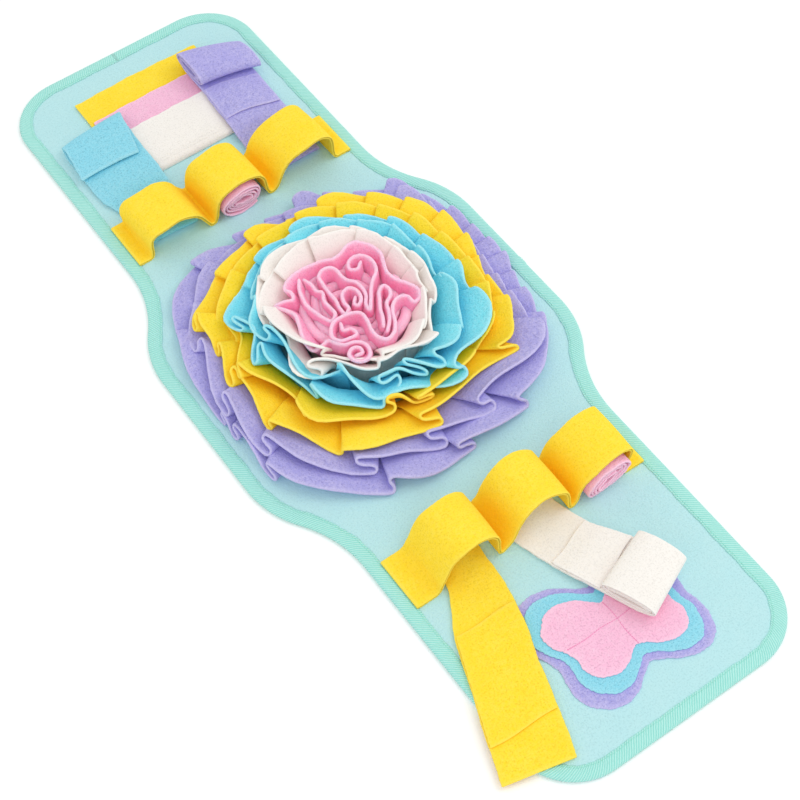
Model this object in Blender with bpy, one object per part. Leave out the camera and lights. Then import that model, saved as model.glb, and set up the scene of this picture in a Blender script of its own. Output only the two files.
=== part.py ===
"""Fleece snuffle mat: a padded mat with a bound edge, a big ruffled flower in the
middle, two yellow loop bands with rolls and straps in them, layered pocket flaps
at the far end and a butterfly patch at the near end.

The origin is the middle of the mat's underside. X runs across the mat, +Y along
it towards the pocket flaps, +Z up. Tables are in millimetres, meshes in metres.
"""
import math

import bpy
from mathutils import Vector

MM = 0.001

# ---- driving sizes, mm ---------------------------------------------------------
HALF_LENGTH = 490.0
END_HALF_WIDTH = 142.6
MIDDLE_HALF_WIDTH = 185.0
SHOULDER_INNER_Y = 108.0
SHOULDER_OUTER_Y = 170.0
END_CORNER_RADIUS = 61.0
SHOULDER_HOLLOW_RADIUS = 126.0
SHOULDER_ROUND_RADIUS = 106.0
PANEL_THICK = 3.6
RIM_LOW, RIM_HIGH = 1.3, 2.7
RIM_REACH = 1.3
PANEL_STEP = 14.6
TAPE_WIDTH = 14.2
TAPE_HEIGHT = 4.0
TAPE_THICK = 1.0
GAP = 0.3
FLEECE = 1.6
BAND_THICK = 3.0
STRAP_THICK = 3.2
APPLIQUE_THICK = 1.0
RUFFLE_THICK = 2.0

PANEL_TOP = PANEL_THICK + GAP

COLOURS = {
    "mat_aqua": (0.42, 0.71, 0.72),
    "tape_teal": (0.21, 0.68, 0.58),
    "fleece_yellow": (0.99, 0.70, 0.05),
    "fleece_lilac": (0.42, 0.40, 0.80),
    "fleece_sky": (0.14, 0.62, 0.78),
    "fleece_white": (0.90, 0.87, 0.80),
    "fleece_pink": (0.92, 0.33, 0.50),
    "fleece_soft_pink": (0.93, 0.55, 0.71),
}


# ---- scene helpers ---------------------------------------------------------------
def clear_scene():
    for item in list(bpy.data.objects):
        bpy.data.objects.remove(item, do_unlink=True)


def fleece_material(slot):
    material = bpy.data.materials.get(slot)
    if material:
        return material
    material = bpy.data.materials.new(slot)
    material.use_nodes = True
    shader = material.node_tree.nodes["Principled BSDF"]
    shader.inputs["Base Color"].default_value = (*COLOURS[slot], 1.0)
    shader.inputs["Roughness"].default_value = 0.92
    shader.inputs["Metallic"].default_value = 0.0
    return material


def add_mesh(name, points, faces, slot):
    mesh = bpy.data.meshes.new(name)
    mesh.from_pydata([tuple(Vector(p) * MM) for p in points], [], faces)
    mesh.validate()
    body = bpy.data.objects.new(name, mesh)
    bpy.context.scene.collection.objects.link(body)
    mesh.materials.append(fleece_material(slot))
    mesh.shade_smooth()
    mesh.set_sharp_from_angle(angle=math.radians(50))
    face_outwards(body)
    return body


def face_outwards(body):
    """Turn every face so that the closed body's volume is positive."""
    mesh = body.data
    volume = 0.0
    for polygon in mesh.polygons:
        corners = [mesh.vertices[i].co for i in polygon.vertices]
        for second, third in zip(corners[1:], corners[2:]):
            volume += corners[0].dot(second.cross(third))
    if volume < 0.0:
        mesh.flip_normals()


# ---- sheets ------------------------------------------------------------------------
def row_normals(rows, closed):
    """Unit normal of the middle surface at each point of a grid of rows."""
    count = len(rows)
    width = len(rows[0])
    normals = []
    for i in range(count):
        before = rows[(i - 1) % count] if closed or i > 0 else rows[i]
        after = rows[(i + 1) % count] if closed or i < count - 1 else rows[i]
        line = []
        for j in range(width):
            along = after[j] - before[j]
            across = rows[i][min(j + 1, width - 1)] - rows[i][max(j - 1, 0)]
            line.append(along.cross(across).normalized())
        normals.append(line)
    return normals


def sheet(name, rows, thick, slot, closed=False):
    """Closed solid of even thickness about a grid of middle points."""
    rows = [[Vector(p) for p in row] for row in rows]
    normals = row_normals(rows, closed)
    count, width = len(rows), len(rows[0])
    points = []
    for side in (0.5, -0.5):
        for row, line in zip(rows, normals):
            points += [p + n * thick * side for p, n in zip(row, line)]
    under = count * width
    faces = []
    spans = count if closed else count - 1
    for i in range(spans):
        a = i * width
        b = ((i + 1) % count) * width
        for j in range(width - 1):
            faces.append((a + j, b + j, b + j + 1, a + j + 1))
            faces.append((under + a + j, under + a + j + 1,
                          under + b + j + 1, under + b + j))
        faces.append((a, under + a, under + b, b))
        last = width - 1
        faces.append((a + last, b + last, under + b + last, under + a + last))
    if not closed:
        end = (count - 1) * width
        for j in range(width - 1):
            faces.append((j, j + 1, under + j + 1, under + j))
            faces.append((end + j, under + end + j, under + end + j + 1, end + j + 1))
    return add_mesh(name, points, faces, slot)


# ---- mat panel and its binding -----------------------------------------------------
def quarter_outline():
    """Outline of one quarter, far middle to right middle, as x, y and outward normal."""
    slant = math.atan2(MIDDLE_HALF_WIDTH - END_HALF_WIDTH,
                       SHOULDER_OUTER_Y - SHOULDER_INNER_Y)
    hollow_reach = SHOULDER_HOLLOW_RADIUS * math.tan(slant / 2)
    round_reach = SHOULDER_ROUND_RADIUS * math.tan(slant / 2)
    corner_x = END_HALF_WIDTH - END_CORNER_RADIUS
    corner_y = HALF_LENGTH - END_CORNER_RADIUS
    outline = [(0.0, HALF_LENGTH, 0.0, 1.0), (corner_x * 0.5, HALF_LENGTH, 0.0, 1.0)]
    for step in range(8):
        turn = math.pi / 2 * step / 7
        nx, ny = math.sin(turn), math.cos(turn)
        outline.append((corner_x + END_CORNER_RADIUS * nx,
                        corner_y + END_CORNER_RADIUS * ny, nx, ny))
    hollow_top = SHOULDER_OUTER_Y + hollow_reach
    for share in (0.36, 0.70):
        outline.append((END_HALF_WIDTH, corner_y + (hollow_top - corner_y) * share, 1.0, 0.0))
    hollow_x = END_HALF_WIDTH + SHOULDER_HOLLOW_RADIUS
    for step in range(5):
        turn = slant * step / 4
        nx, ny = math.cos(turn), math.sin(turn)
        outline.append((hollow_x - SHOULDER_HOLLOW_RADIUS * nx,
                        hollow_top - SHOULDER_HOLLOW_RADIUS * ny, nx, ny))
    round_x = MIDDLE_HALF_WIDTH - SHOULDER_ROUND_RADIUS
    round_y = SHOULDER_INNER_Y - round_reach
    for step in range(5):
        turn = slant * (1 - step / 4)
        nx, ny = math.cos(turn), math.sin(turn)
        outline.append((round_x + SHOULDER_ROUND_RADIUS * nx,
                        round_y + SHOULDER_ROUND_RADIUS * ny, nx, ny))
    outline.append((MIDDLE_HALF_WIDTH, 0.0, 1.0, 0.0))
    return outline


def mat_outline():
    far_right = quarter_outline()
    near_right = [(x, -y, nx, -ny) for x, y, nx, ny in reversed(far_right[:-1])]
    right = far_right + near_right
    left = [(-x, y, -nx, ny) for x, y, nx, ny in reversed(right[1:-1])]
    return right + left


def outline_ring(outline, inset, height):
    return [(x - nx * inset, y - ny * inset, height) for x, y, nx, ny in outline]


def ring_faces(first, second, count):
    return [(first + i, second + i, second + (i + 1) % count, first + (i + 1) % count)
            for i in range(count)]


def base_panel(outline):
    count = len(outline)
    section = ((PANEL_STEP, PANEL_THICK), (PANEL_STEP, RIM_HIGH), (RIM_REACH, RIM_HIGH),
               (RIM_REACH, RIM_LOW), (PANEL_STEP, RIM_LOW), (PANEL_STEP, 0.0))
    points = []
    for inset, height in section:
        points += outline_ring(outline, inset, height)
    faces = []
    for ring in range(len(section) - 1):
        faces += ring_faces(ring * count, (ring + 1) * count, count)
    half = count // 2
    bottom = (len(section) - 1) * count
    for i in range(half):
        right = (i, i + 1)
        left = ((count - i - 1) % count, (count - i) % count)
        loop = list(dict.fromkeys(right + left))
        faces.append(tuple(loop))
        faces.append(tuple(bottom + k for k in reversed(loop)))
    return add_mesh("base_panel", points, faces, "mat_aqua")


def edge_binding(outline):
    count = len(outline)
    soft = 0.5
    section = ((soft, 0.0), (0.0, 0.9), (0.0, TAPE_HEIGHT - 0.9), (soft, TAPE_HEIGHT),
               (TAPE_WIDTH, TAPE_HEIGHT), (TAPE_WIDTH, TAPE_HEIGHT - TAPE_THICK),
               (TAPE_THICK, TAPE_HEIGHT - TAPE_THICK), (TAPE_THICK, TAPE_THICK),
               (TAPE_WIDTH, TAPE_THICK), (TAPE_WIDTH, 0.0))
    points = []
    for inset, height in section:
        points += outline_ring(outline, inset, height)
    faces = []
    for ring in range(len(section)):
        follow = (ring + 1) % len(section)
        faces += ring_faces(ring * count, follow * count, count)
    return add_mesh("edge_binding", points, faces, "tape_teal")


# ---- pocket flaps at the far end ---------------------------------------------------
# left/right x at the sewn edge, left/right x and y at the open edge, height of the middle
FLAPS = (
    # name, slot, sewn left, sewn right, open left, open right, open y, middle z
    ("flap_yellow", "fleece_yellow", -75.0, 77.0, -73.5, 76.7, 442.5, 4.7),
    ("flap_pink", "fleece_soft_pink", -71.5, 75.0, -70.0, 74.5, 407.0, 6.6),
    ("flap_white", "fleece_white", -68.0, 75.5, -67.0, 75.0, 373.0, 8.5),
)
FLAP_SEWN_Y = 310.0
FLAP_LIFT = 0.8


def pocket_flap(name, slot, sewn_left, sewn_right, open_left, open_right, open_y, height):
    rows = []
    for share in (0.0, 0.08, 0.4, 0.75, 1.0):
        y = FLAP_SEWN_Y + (open_y - FLAP_SEWN_Y) * share
        left = sewn_left + (open_left - sewn_left) * share
        right = sewn_right + (open_right - sewn_right) * share
        row = []
        for step in range(5):
            x = left + (right - left) * step / 4
            bow = 1.2 * math.sin(math.pi * step / 4) * share
            lift = FLAP_LIFT * ((y - FLAP_SEWN_Y) / 132.0) ** 2
            row.append((x, y + bow, height + lift))
        rows.append(row)
    return sheet(name, rows, FLEECE, slot)


# ---- loop bands --------------------------------------------------------------------
# x and z of the band's middle surface, left tab to right tab
FAR_BAND = (
    (-127.8, 5.4), (-119, 5.4), (-114, 6.2), (-112, 12), (-111.5, 22), (-110, 30),
    (-106, 34.8), (-99, 36.2), (-85, 37), (-70, 36.4), (-60, 32), (-53, 24),
    (-46.5, 12), (-42.5, 6.4), (-39, 6.4), (-36, 13), (-33.6, 23), (-30, 32),
    (-23, 38.5), (-12, 41.8), (-2, 42.6), (9, 41.8), (18, 38.5), (23.2, 32),
    (25, 22), (26.4, 12), (29.5, 6.4), (33, 6.4), (38, 11), (43.5, 20), (51, 29),
    (62, 37.5), (76, 42.5), (89, 44.3), (99, 43.6), (105, 39), (108, 29), (109, 16),
    (110, 8), (113, 5.4), (121, 5.4), (127.8, 5.4),
)
NEAR_BAND = (
    (-127.8, 5.4), (-119, 5.4), (-109, 5.4), (-104.5, 7.6), (-101, 15), (-96, 26),
    (-91, 37), (-85, 46), (-77, 51), (-67, 52), (-56, 49.6), (-47, 45), (-41, 38),
    (-38, 28), (-37.4, 15), (-37, 8), (-34.5, 6.2), (-31, 9), (-23, 18), (-16, 31),
    (-9, 42), (0, 48.4), (10, 50), (21, 48.2), (31, 43.6), (37, 37), (40, 28),
    (41.4, 15), (43, 7.6), (45.5, 6.2), (49, 9), (54, 19), (60, 29), (69, 37.6),
    (80, 43.6), (92, 47), (103, 47.2), (110.4, 43), (112.6, 34), (110.6, 24),
    (107, 13), (106, 7.6), (109, 5.4), (116, 5.4), (127.8, 5.4),
)
# y of the station, sideways shift and height factor of the arches there
FAR_STATIONS = ((212.0, 0.0, 1.0), (241.0, -1.2, 1.03), (270.0, -2.6, 0.97))
NEAR_STATIONS = ((-270.0, 0.0, 1.0), (-242.0, 1.0, 1.02), (-214.0, 1.6, 0.96))
BAND_FLAT = 5.4


def loop_band(name, profile, stations):
    rows = []
    for x, z in profile:
        row = []
        for y, shift, tall in stations:
            rise = max(z - BAND_FLAT, 0.0)
            sway = min(rise / 12.0, 1.0)
            row.append((x + shift * sway, y, BAND_FLAT + rise * tall))
        rows.append(row)
    return sheet(name, rows, BAND_THICK, "fleece_yellow")


# ---- straps ------------------------------------------------------------------------
# Each row is one cross line of the strap: left x, y, z, right x, y, z, and the height
# of its middle above the mean of the two edges.
STRAP_SKY = (
    (-104, 247, 12.6, -54, 245, 12.6, 1.5), (-105, 232, 12.2, -53, 230, 12.2, 1.5),
    (-105.5, 226, 9.4, -52.5, 224, 9.4, 1.2), (-106, 231, 6.4, -51.5, 229, 6.4, 1.0),
    (-107, 248, 5.7, -50.5, 246, 5.7, 2.5), (-108, 272, 5.7, -50, 270, 5.7, 3.0),
    (-112, 288, 6.0, -49.2, 286, 8.6, 2.6), (-116.5, 303, 6.6, -48.6, 301, 12.4, 2.2),
    (-118, 317, 7.0, -48, 314, 13.0, 1.8), (-119, 342, 7.2, -48.4, 340, 12.8, 1.8),
    (-118, 368, 7.2, -46, 372, 12.2, 1.8), (-117, 387, 7.6, -44, 391, 11.8, 1.8),
    (-116, 393.5, 10.2, -42.8, 397.5, 14.4, 1.6), (-116.6, 388, 13.4, -45, 392.5, 17.6, 1.4),
    (-118.2, 365, 13.0, -49, 368, 17.4, 1.8), (-121, 341, 12.2, -55.5, 336, 16.8, 1.8),
)
STRAP_LILAC_BODY = (
    (47, 251, 12.6, 99, 251, 12.6, 1.2), (46, 236, 12.2, 100, 236, 12.2, 1.2),
    (45.5, 230, 9.4, 101, 230, 9.4, 1.0), (45, 235, 6.4, 102, 235, 6.4, 0.8),
    (44, 252, 5.7, 102.5, 252, 5.7, 0.6), (42.6, 276, 5.8, 103.5, 276, 5.8, 0.6),
    (42, 290, 8.8, 105, 289, 6.0, 1.2), (42, 303, 12.2, 106.5, 301, 6.4, 3.0),
    (43, 318, 13.0, 107.5, 314, 6.6, 3.0), (44.5, 345, 12.6, 108, 340, 6.8, 2.8),
    (46, 375, 12.2, 108.5, 368, 7.4, 2.6),
)
STRAP_YELLOW = (
    (-92, -226, 5.8, -47.5, -226, 5.8, 3.0), (-92, -248, 5.8, -48, -245, 5.8, 3.0),
    (-95, -270, 5.8, -50, -266, 5.8, 2.0), (-104, -287, 5.8, -51.4, -285, 5.8, 1.0),
    (-118, -310, 5.8, -56, -313, 6.2, 0.4), (-126, -331, 6.0, -62, -339, 7.6, 0.2),
    (-141, -371, 6.0, -74.5, -371, 8.6, -0.4), (-150, -395, 6.0, -81.5, -397, 8.4, -0.4),
    (-157, -414, 5.9, -89, -420, 7.2, -0.1), (-163, -431, 5.6, -96, -442, 6.4, 0.1),
    (-168, -446, 5.2, -103, -462, 6.2, 0.3),
)
STRAP_WHITE_BODY = (
    (-24, -227, 5.7, 30, -225, 5.7, 2.0), (-22, -248, 5.7, 33, -242, 5.7, 2.0),
    (-19, -266, 5.8, 35, -255, 5.8, 1.6), (-13, -290, 6.0, 40, -275, 6.0, 0.6),
    (-7, -308, 7.2, 46, -293, 6.6, 0.4), (-1, -326, 9.6, 55, -309, 8.2, 0.6),
    (6, -346, 10.4, 64, -324, 9.6, 0.6),
)


def strap_rows(table):
    rows = []
    for left_x, left_y, left_z, right_x, right_y, right_z, crown in table:
        left = Vector((left_x, left_y, left_z))
        right = Vector((right_x, right_y, right_z))
        middle = (left + right) / 2 + Vector((0, 0, crown))
        rows.append([left, middle, right])
    return rows


def wound_rows(start, axis, reach, half_height, pitch, turns, steps, shrink):
    """Cross lines of a flattened spiral that winds on from the strap's last line.

    axis is the way the strap runs, reach and half_height are the first turn's half
    sizes, pitch is how much both shrink in a turn, and shrink narrows the right end.
    """
    rows = []
    axis = Vector(axis).normalized()
    for step in range(1, steps + 1):
        turn = turns * step / steps
        angle = math.tau * turn - math.pi / 2
        row = []
        for place, point in enumerate(start):
            size = 1.0 - shrink * place / (len(start) - 1)
            flat = max(reach * size - pitch * turn, pitch * 0.6)
            tall = max(half_height * size - pitch * turn, 0.8)
            centre = point + axis * reach * size + Vector((0, 0, half_height * size))
            row.append(centre + axis * flat * math.cos(angle)
                       + Vector((0, 0, tall * math.sin(angle))))
        rows.append(row)
    return rows


def strap_with_roll(name, slot, table, axis, reach, half_height, pitch, turns, steps, shrink):
    body = strap_rows(table)
    start = body[-1]
    wound = wound_rows(start, axis, reach, half_height, pitch, turns, steps, shrink)
    return sheet(name, body + wound, STRAP_THICK, slot)


def pocket_on_strap(name, slot, table, first, last, start_share, drop):
    """Second layer sewn on a strap, a gap above it, from one cross line to another."""
    lines = strap_rows(table)[first:last + 1]
    opening = [a.lerp(b, start_share) for a, b in zip(lines[0], lines[1])]
    lines = [opening] + lines[1:]
    height = STRAP_THICK / 2 + GAP + FLEECE / 2
    rows = []
    for line in lines:
        left, middle, right = line
        inward = (right - left).normalized() * drop
        rows.append([left + inward + Vector((0, 0, height)),
                     middle + Vector((0, 0, height)),
                     right - inward + Vector((0, 0, height))])
    return sheet(name, rows, FLEECE, slot)


# ---- loose rolls in the loops ------------------------------------------------------
def strip_roll(name, slot, centre_x, centre_z, half_wide, half_tall, tilt, near_y, far_y,
               thick, pitch, pitch_up, turns, steps):
    """A strip wound into a flattened roll, its turns a little apart, lying along Y."""
    rows = []
    for step in range(steps + 1):
        turn = turns * step / steps
        angle = -math.tau * turn - math.pi * 0.3
        wide = half_wide - thick / 2 - pitch * turn
        tall = half_tall - thick / 2 - pitch_up * turn
        tall = max(tall, thick * 0.75 + 0.4 * (turns - turn))
        across = wide * math.cos(angle)
        up = tall * math.sin(angle)
        x = centre_x + across * math.cos(tilt) - up * math.sin(tilt)
        z = centre_z + across * math.sin(tilt) + up * math.cos(tilt)
        sag = 0.8 * math.sin(turn * 5.0)
        rows.append([(x, near_y + sag, z), (x, far_y + sag, z)])
    return sheet(name, rows, thick, slot)


# ---- flower ------------------------------------------------------------------------
FLOWER_X, FLOWER_Y = 0.0, 12.0
LONGER_ALONG = 1.035
# root radius, middle and edge of each gathered strip as radius and height, the number of
# pleats, the height of a pleat's step, and the angle where pleats start
RUFFLES = (
    # name, slot, root r, middle r, z, edge r, z, pleats, rise, first
    ("ruffle_lilac_outer", "fleece_lilac", 112, 138, 8.0, 166, 7.8, 23, 3.2, 0.1),
    ("ruffle_lilac_inner", "fleece_lilac", 104, 123, 14.4, 157, 15.2, 21, 3.8, 0.9),
    ("ruffle_yellow_outer", "fleece_yellow", 95, 112, 19.6, 143, 24.0, 19, 5.2, 0.4),
    ("ruffle_yellow_inner", "fleece_yellow", 87, 101, 25, 129, 32.4, 17, 6.0, 1.3),
    ("ruffle_sky_outer", "fleece_sky", 79, 91, 29.5, 116, 39.4, 15, 6.4, 0.7),
    ("ruffle_sky_inner", "fleece_sky", 71, 81, 33.5, 104, 46.4, 14, 6.4, 1.9),
    ("ruffle_white_outer", "fleece_white", 63, 71, 36.5, 93, 52.2, 12, 6.0, 1.57),
    ("ruffle_white_inner", "fleece_white", 55, 63, 38.5, 84, 57.0, 11, 4.8, 0.3),
)
# broad unevenness shared by all the rings: size, waves round the ring, start
UNEVEN_RINGS = ((2.4, 2, 1.0), (1.8, 3, 0.4), (1.4, 5, 2.1))
NEAR_SIDE = math.radians(270)
BROADER_NEAR = 0.28
# one pleat: share of its width, height as a share of its step, outward bulge as a share
PLEAT_LINE = ((0.0, -0.5, -0.4), (0.54, -0.02, 1.0), (1.0, 0.5, 0.0))
PLEAT_BULGE = 2.4
# width of the wall between two pleats at the root, the middle and the edge
PLEAT_WALL = (3.4, 1.6, 1.0)


def pleat_starts(count, first):
    """Angles where pleats begin, unevenly spaced and broader on the near side."""
    widths = []
    for k in range(count):
        angle = first + math.tau * k / count
        broad = 1.0 + BROADER_NEAR * max(math.cos(angle - NEAR_SIDE), 0.0)
        widths.append(broad + 0.26 * math.sin(2.3 * k + first * 5) + 0.12 * math.sin(5.1 * k))
    total = sum(widths)
    angles = [first]
    for width in widths:
        angles.append(angles[-1] + math.tau * width / total)
    return angles


def ring_swell(angle):
    return sum(size * math.sin(waves * angle + start) for size, waves, start in UNEVEN_RINGS)


def ruffle_rows(root, middle, edge, pleats, rise, first):
    slope_low = Vector((middle[0] - root[0], middle[1] - root[1])).normalized()
    slope_high = Vector((edge[0] - middle[0], edge[1] - middle[1])).normalized()
    stations = (
        # radius, height, slope, share of the step, width of the wall, share of the swell
        (root[0], root[1], Vector((0.0, 1.0)), 0.30, PLEAT_WALL[0], 0.3),
        (middle[0], middle[1], (slope_low + slope_high).normalized(), 0.75, PLEAT_WALL[1], 0.7),
        (edge[0], edge[1], slope_high, 1.0, PLEAT_WALL[2], 1.0),
    )
    angles = pleat_starts(pleats, first)
    rows = []
    for k in range(pleats):
        span = angles[k + 1] - angles[k]
        uneven = 1.0 + 0.2 * math.sin(1.7 * k + first)
        for share, side, bulge in PLEAT_LINE:
            row = []
            for radius, height, slope, step_share, wall, swell_share in stations:
                angle = angles[k] + span * share - wall * (share - 0.5) / radius
                lift = rise * side * step_share * uneven
                out = slope.x * PLEAT_BULGE * bulge * step_share - slope.y * lift
                up = slope.x * lift
                if step_share < 0.5:
                    out, up = -lift, 0.0
                reach = radius + out + ring_swell(angle) * swell_share
                row.append((FLOWER_X + reach * math.cos(angle),
                            FLOWER_Y + reach * LONGER_ALONG * math.sin(angle),
                            height + up))
            rows.append(row)
    return rows


def seated_height(root_r, mid_r, mid_z):
    """Height of a strip's sewn edge so that its lower corner rests on the panel."""
    slope = math.atan2(mid_z - PANEL_TOP, mid_r - root_r)
    return PANEL_TOP + 0.5 * RUFFLE_THICK * math.cos(slope) + 0.1


def ruffle(name, slot, root_r, mid_r, mid_z, edge_r, edge_z, pleats, rise, first):
    root_z = seated_height(root_r, mid_r, mid_z)
    rows = ruffle_rows((root_r, root_z), (mid_r, mid_z), (edge_r, edge_z),
                       pleats, rise, first)
    open_strip = name == "ruffle_white_outer"
    if open_strip:
        rows = rows[1:]
    return sheet(name, rows, RUFFLE_THICK, slot, closed=not open_strip)


# the pink centre is one gathered strip wound inwards
ROSETTE_TURNS = 3.3
ROSETTE_FOLDS = 24
STEPS_IN_FOLD = 4
ROSETTE_FIRST_ANGLE = -0.6
# the steps get shorter inwards as this much more than the edge's radius does
ROSETTE_EVEN = 15.0
# how far the strip sways out at its root, middle and edge
ROSETTE_SWAY = (0.8, 2.6, 4.8)
FULL_SWAY_RADIUS = 22.0
# start and end of the strip: root radius, middle radius, edge radius, middle z, edge z
ROSETTE_START = (47.0, 57.0, 74.0, 43.5, 60.0)
ROSETTE_END = (7.0, 8.0, 13.0, 42.0, 61.0)


def rosette():
    steps = ROSETTE_FOLDS * STEPS_IN_FOLD
    root_z = seated_height(ROSETTE_START[0], ROSETTE_START[1], ROSETTE_START[3]) + 0.1
    first_arc = ROSETTE_START[2] + ROSETTE_EVEN
    last_arc = ROSETTE_END[2] + ROSETTE_EVEN
    rows = []
    for step in range(steps + 1):
        fold = math.tau * step / STEPS_IN_FOLD
        arc = math.sqrt(first_arc ** 2 - (first_arc ** 2 - last_arc ** 2) * step / steps)
        share = (first_arc - arc) / (first_arc - last_arc)
        root, middle, edge, middle_z, edge_z = [
            a + (b - a) * share for a, b in zip(ROSETTE_START, ROSETTE_END)]
        angle = ROSETTE_FIRST_ANGLE + math.tau * ROSETTE_TURNS * share
        sway = math.sin(fold + 0.4) * (1.0 + 0.25 * math.sin(1.3 * step))
        row = []
        for radius, height, reach in zip((root, middle, edge), (root_z, middle_z, edge_z),
                                         ROSETTE_SWAY):
            out = radius + reach * sway * min(1.0, radius / FULL_SWAY_RADIUS)
            row.append((FLOWER_X + out * math.cos(angle),
                        FLOWER_Y + out * LONGER_ALONG * math.sin(angle),
                        height + 0.3 * reach * math.cos(fold)))
        rows.append(row)
    return sheet("rosette_pink", rows, RUFFLE_THICK, "fleece_pink")


# ---- butterfly patch ---------------------------------------------------------------
BUTTERFLY_X, BUTTERFLY_Y = 4.0, -385.0
# wing outline, as direction in degrees and distance from the patch's middle
WING = (
    (90, 22), (76, 27), (64, 41), (53, 55), (43, 64), (33, 70), (22, 70), (11, 62),
    (0, 53), (-11, 53), (-22, 59), (-33, 62), (-44, 60), (-55, 52), (-67, 40), (-79, 30),
    (-90, 27), (-101, 30), (-114, 40), (-126, 49), (-138, 54), (-150, 57), (-161, 55),
    (-171, 52), (180, 54), (169, 62), (158, 68), (147, 66), (136, 62), (125, 52),
    (114, 40), (102, 27),
)
# name, slot, growth outside the pink wings, height of the middle
WING_LAYERS = (
    ("butterfly_lilac", "fleece_lilac", 18.0, 4.4),
    ("butterfly_sky", "fleece_sky", 10.0, 5.7),
    ("butterfly_pink", "fleece_soft_pink", 0.0, 7.0),
)


def butterfly_layer(name, slot, growth, height):
    outline = []
    for degrees, distance in WING:
        angle = math.radians(degrees)
        reach = distance + growth
        outline.append((BUTTERFLY_X + reach * math.cos(angle),
                        BUTTERFLY_Y + reach * math.sin(angle)))
    count = len(outline)
    half = APPLIQUE_THICK / 2
    points = [(BUTTERFLY_X, BUTTERFLY_Y, height + half)]
    points.append((BUTTERFLY_X, BUTTERFLY_Y, height - half))
    points += [(x, y, height + half) for x, y in outline]
    points += [(x, y, height - half) for x, y in outline]
    faces = []
    for i in range(count):
        j = (i + 1) % count
        faces.append((0, 2 + i, 2 + j))
        faces.append((1, 2 + count + j, 2 + count + i))
        faces.append((2 + i, 2 + count + i, 2 + count + j, 2 + j))
    return add_mesh(name, points, faces, slot)


# ---- build -------------------------------------------------------------------------
def build():
    clear_scene()
    outline = mat_outline()
    base_panel(outline)
    edge_binding(outline)
    for row in FLAPS:
        pocket_flap(*row)
    loop_band("loop_band_far", FAR_BAND, FAR_STATIONS)
    loop_band("loop_band_near", NEAR_BAND, NEAR_STATIONS)
    sheet("strap_sky", strap_rows(STRAP_SKY), STRAP_THICK, "fleece_sky")
    strap_with_roll("strap_lilac", "fleece_lilac", STRAP_LILAC_BODY, axis=(0.0, 1.0, 0.0),
                    reach=25.5, half_height=11.0, pitch=4.6, turns=1.25, steps=14, shrink=0.2)
    sheet("strap_yellow", strap_rows(STRAP_YELLOW), STRAP_THICK, "fleece_yellow")
    strap_with_roll("strap_white", "fleece_white", STRAP_WHITE_BODY, axis=(0.36, -0.93, 0.0),
                    reach=27.0, half_height=8.6, pitch=4.5, turns=1.2, steps=14, shrink=0.10)
    pocket_on_strap("strap_lilac_pocket", "fleece_lilac", STRAP_LILAC_BODY, 8, 10, 0.02, 0.6)
    pocket_on_strap("strap_yellow_pocket", "fleece_yellow", STRAP_YELLOW, 4, 8, 0.2, 0.8)
    pocket_on_strap("strap_white_pocket", "fleece_white", STRAP_WHITE_BODY, 3, 6, 0.9, 0.8)
    strip_roll("roll_pink_far", "fleece_soft_pink", centre_x=-4.6, centre_z=20.4,
               half_wide=26.0, half_tall=17.0, tilt=0.05, near_y=209.5, far_y=267.0,
               thick=2.6, pitch=3.7, pitch_up=3.1, turns=4.0, steps=52)
    strip_roll("roll_pink_near", "fleece_soft_pink", centre_x=83.5, centre_z=24.2,
               half_wide=28.0, half_tall=15.2, tilt=0.42, near_y=-275.0, far_y=-218.0,
               thick=2.6, pitch=3.7, pitch_up=3.1, turns=3.4, steps=45)
    for row in RUFFLES:
        ruffle(*row)
    rosette()
    for row in WING_LAYERS:
        butterfly_layer(*row)


build()
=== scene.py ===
"""Fleece snuffle mat: the look of it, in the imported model's frame.

Tables are in millimetres and degrees, meshes in metres. X runs across the mat,
+Y along it towards the pocket flaps, +Z up.
"""

import math

import bpy
from mathutils import Matrix
import numpy as np


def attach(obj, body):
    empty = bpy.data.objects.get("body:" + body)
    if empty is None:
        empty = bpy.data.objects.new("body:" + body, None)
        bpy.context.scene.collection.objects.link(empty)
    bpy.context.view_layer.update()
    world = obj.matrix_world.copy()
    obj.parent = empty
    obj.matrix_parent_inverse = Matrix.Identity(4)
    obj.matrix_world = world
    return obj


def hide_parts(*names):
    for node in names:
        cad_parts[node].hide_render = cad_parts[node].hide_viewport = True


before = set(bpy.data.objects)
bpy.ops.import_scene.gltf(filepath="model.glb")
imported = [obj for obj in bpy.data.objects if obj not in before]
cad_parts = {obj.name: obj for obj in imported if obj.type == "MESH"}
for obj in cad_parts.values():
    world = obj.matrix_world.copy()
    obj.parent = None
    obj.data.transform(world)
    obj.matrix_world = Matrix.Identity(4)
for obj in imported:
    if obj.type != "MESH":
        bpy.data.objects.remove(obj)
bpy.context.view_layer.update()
MM = 0.001
TAU = math.tau
UP = np.array([0, 0, 1.0])


# ---- curves and tables ---------------------------------------------------------------
def unit(a):
    """Rows scaled to length one."""
    return a / np.maximum(np.linalg.norm(a, axis=-1, keepdims=True), 1e-12)


def hermite(knots, values, x):
    """Smooth interpolation of rows of values at x."""
    knots = np.asarray(knots, float)
    values = np.asarray(values, float)
    slope = np.gradient(values, knots, axis=0)
    i = np.clip(np.searchsorted(knots, x, side="right") - 1, 0, len(knots) - 2)
    h = knots[i + 1] - knots[i]
    t = np.clip((x - knots[i]) / h, 0, 1)
    if values.ndim > 1:
        h, t = h[:, None], t[:, None]
    return ((2 * t ** 3 - 3 * t ** 2 + 1) * values[i] + (t ** 3 - 2 * t ** 2 + t) * h * slope[i]
            + (3 * t ** 2 - 2 * t ** 3) * values[i + 1] + (t ** 3 - t ** 2) * h * slope[i + 1])


def lengths(points):
    """Run along a line to each of its points."""
    return np.r_[0, np.cumsum(np.linalg.norm(np.diff(points, axis=0), axis=1))]


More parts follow.
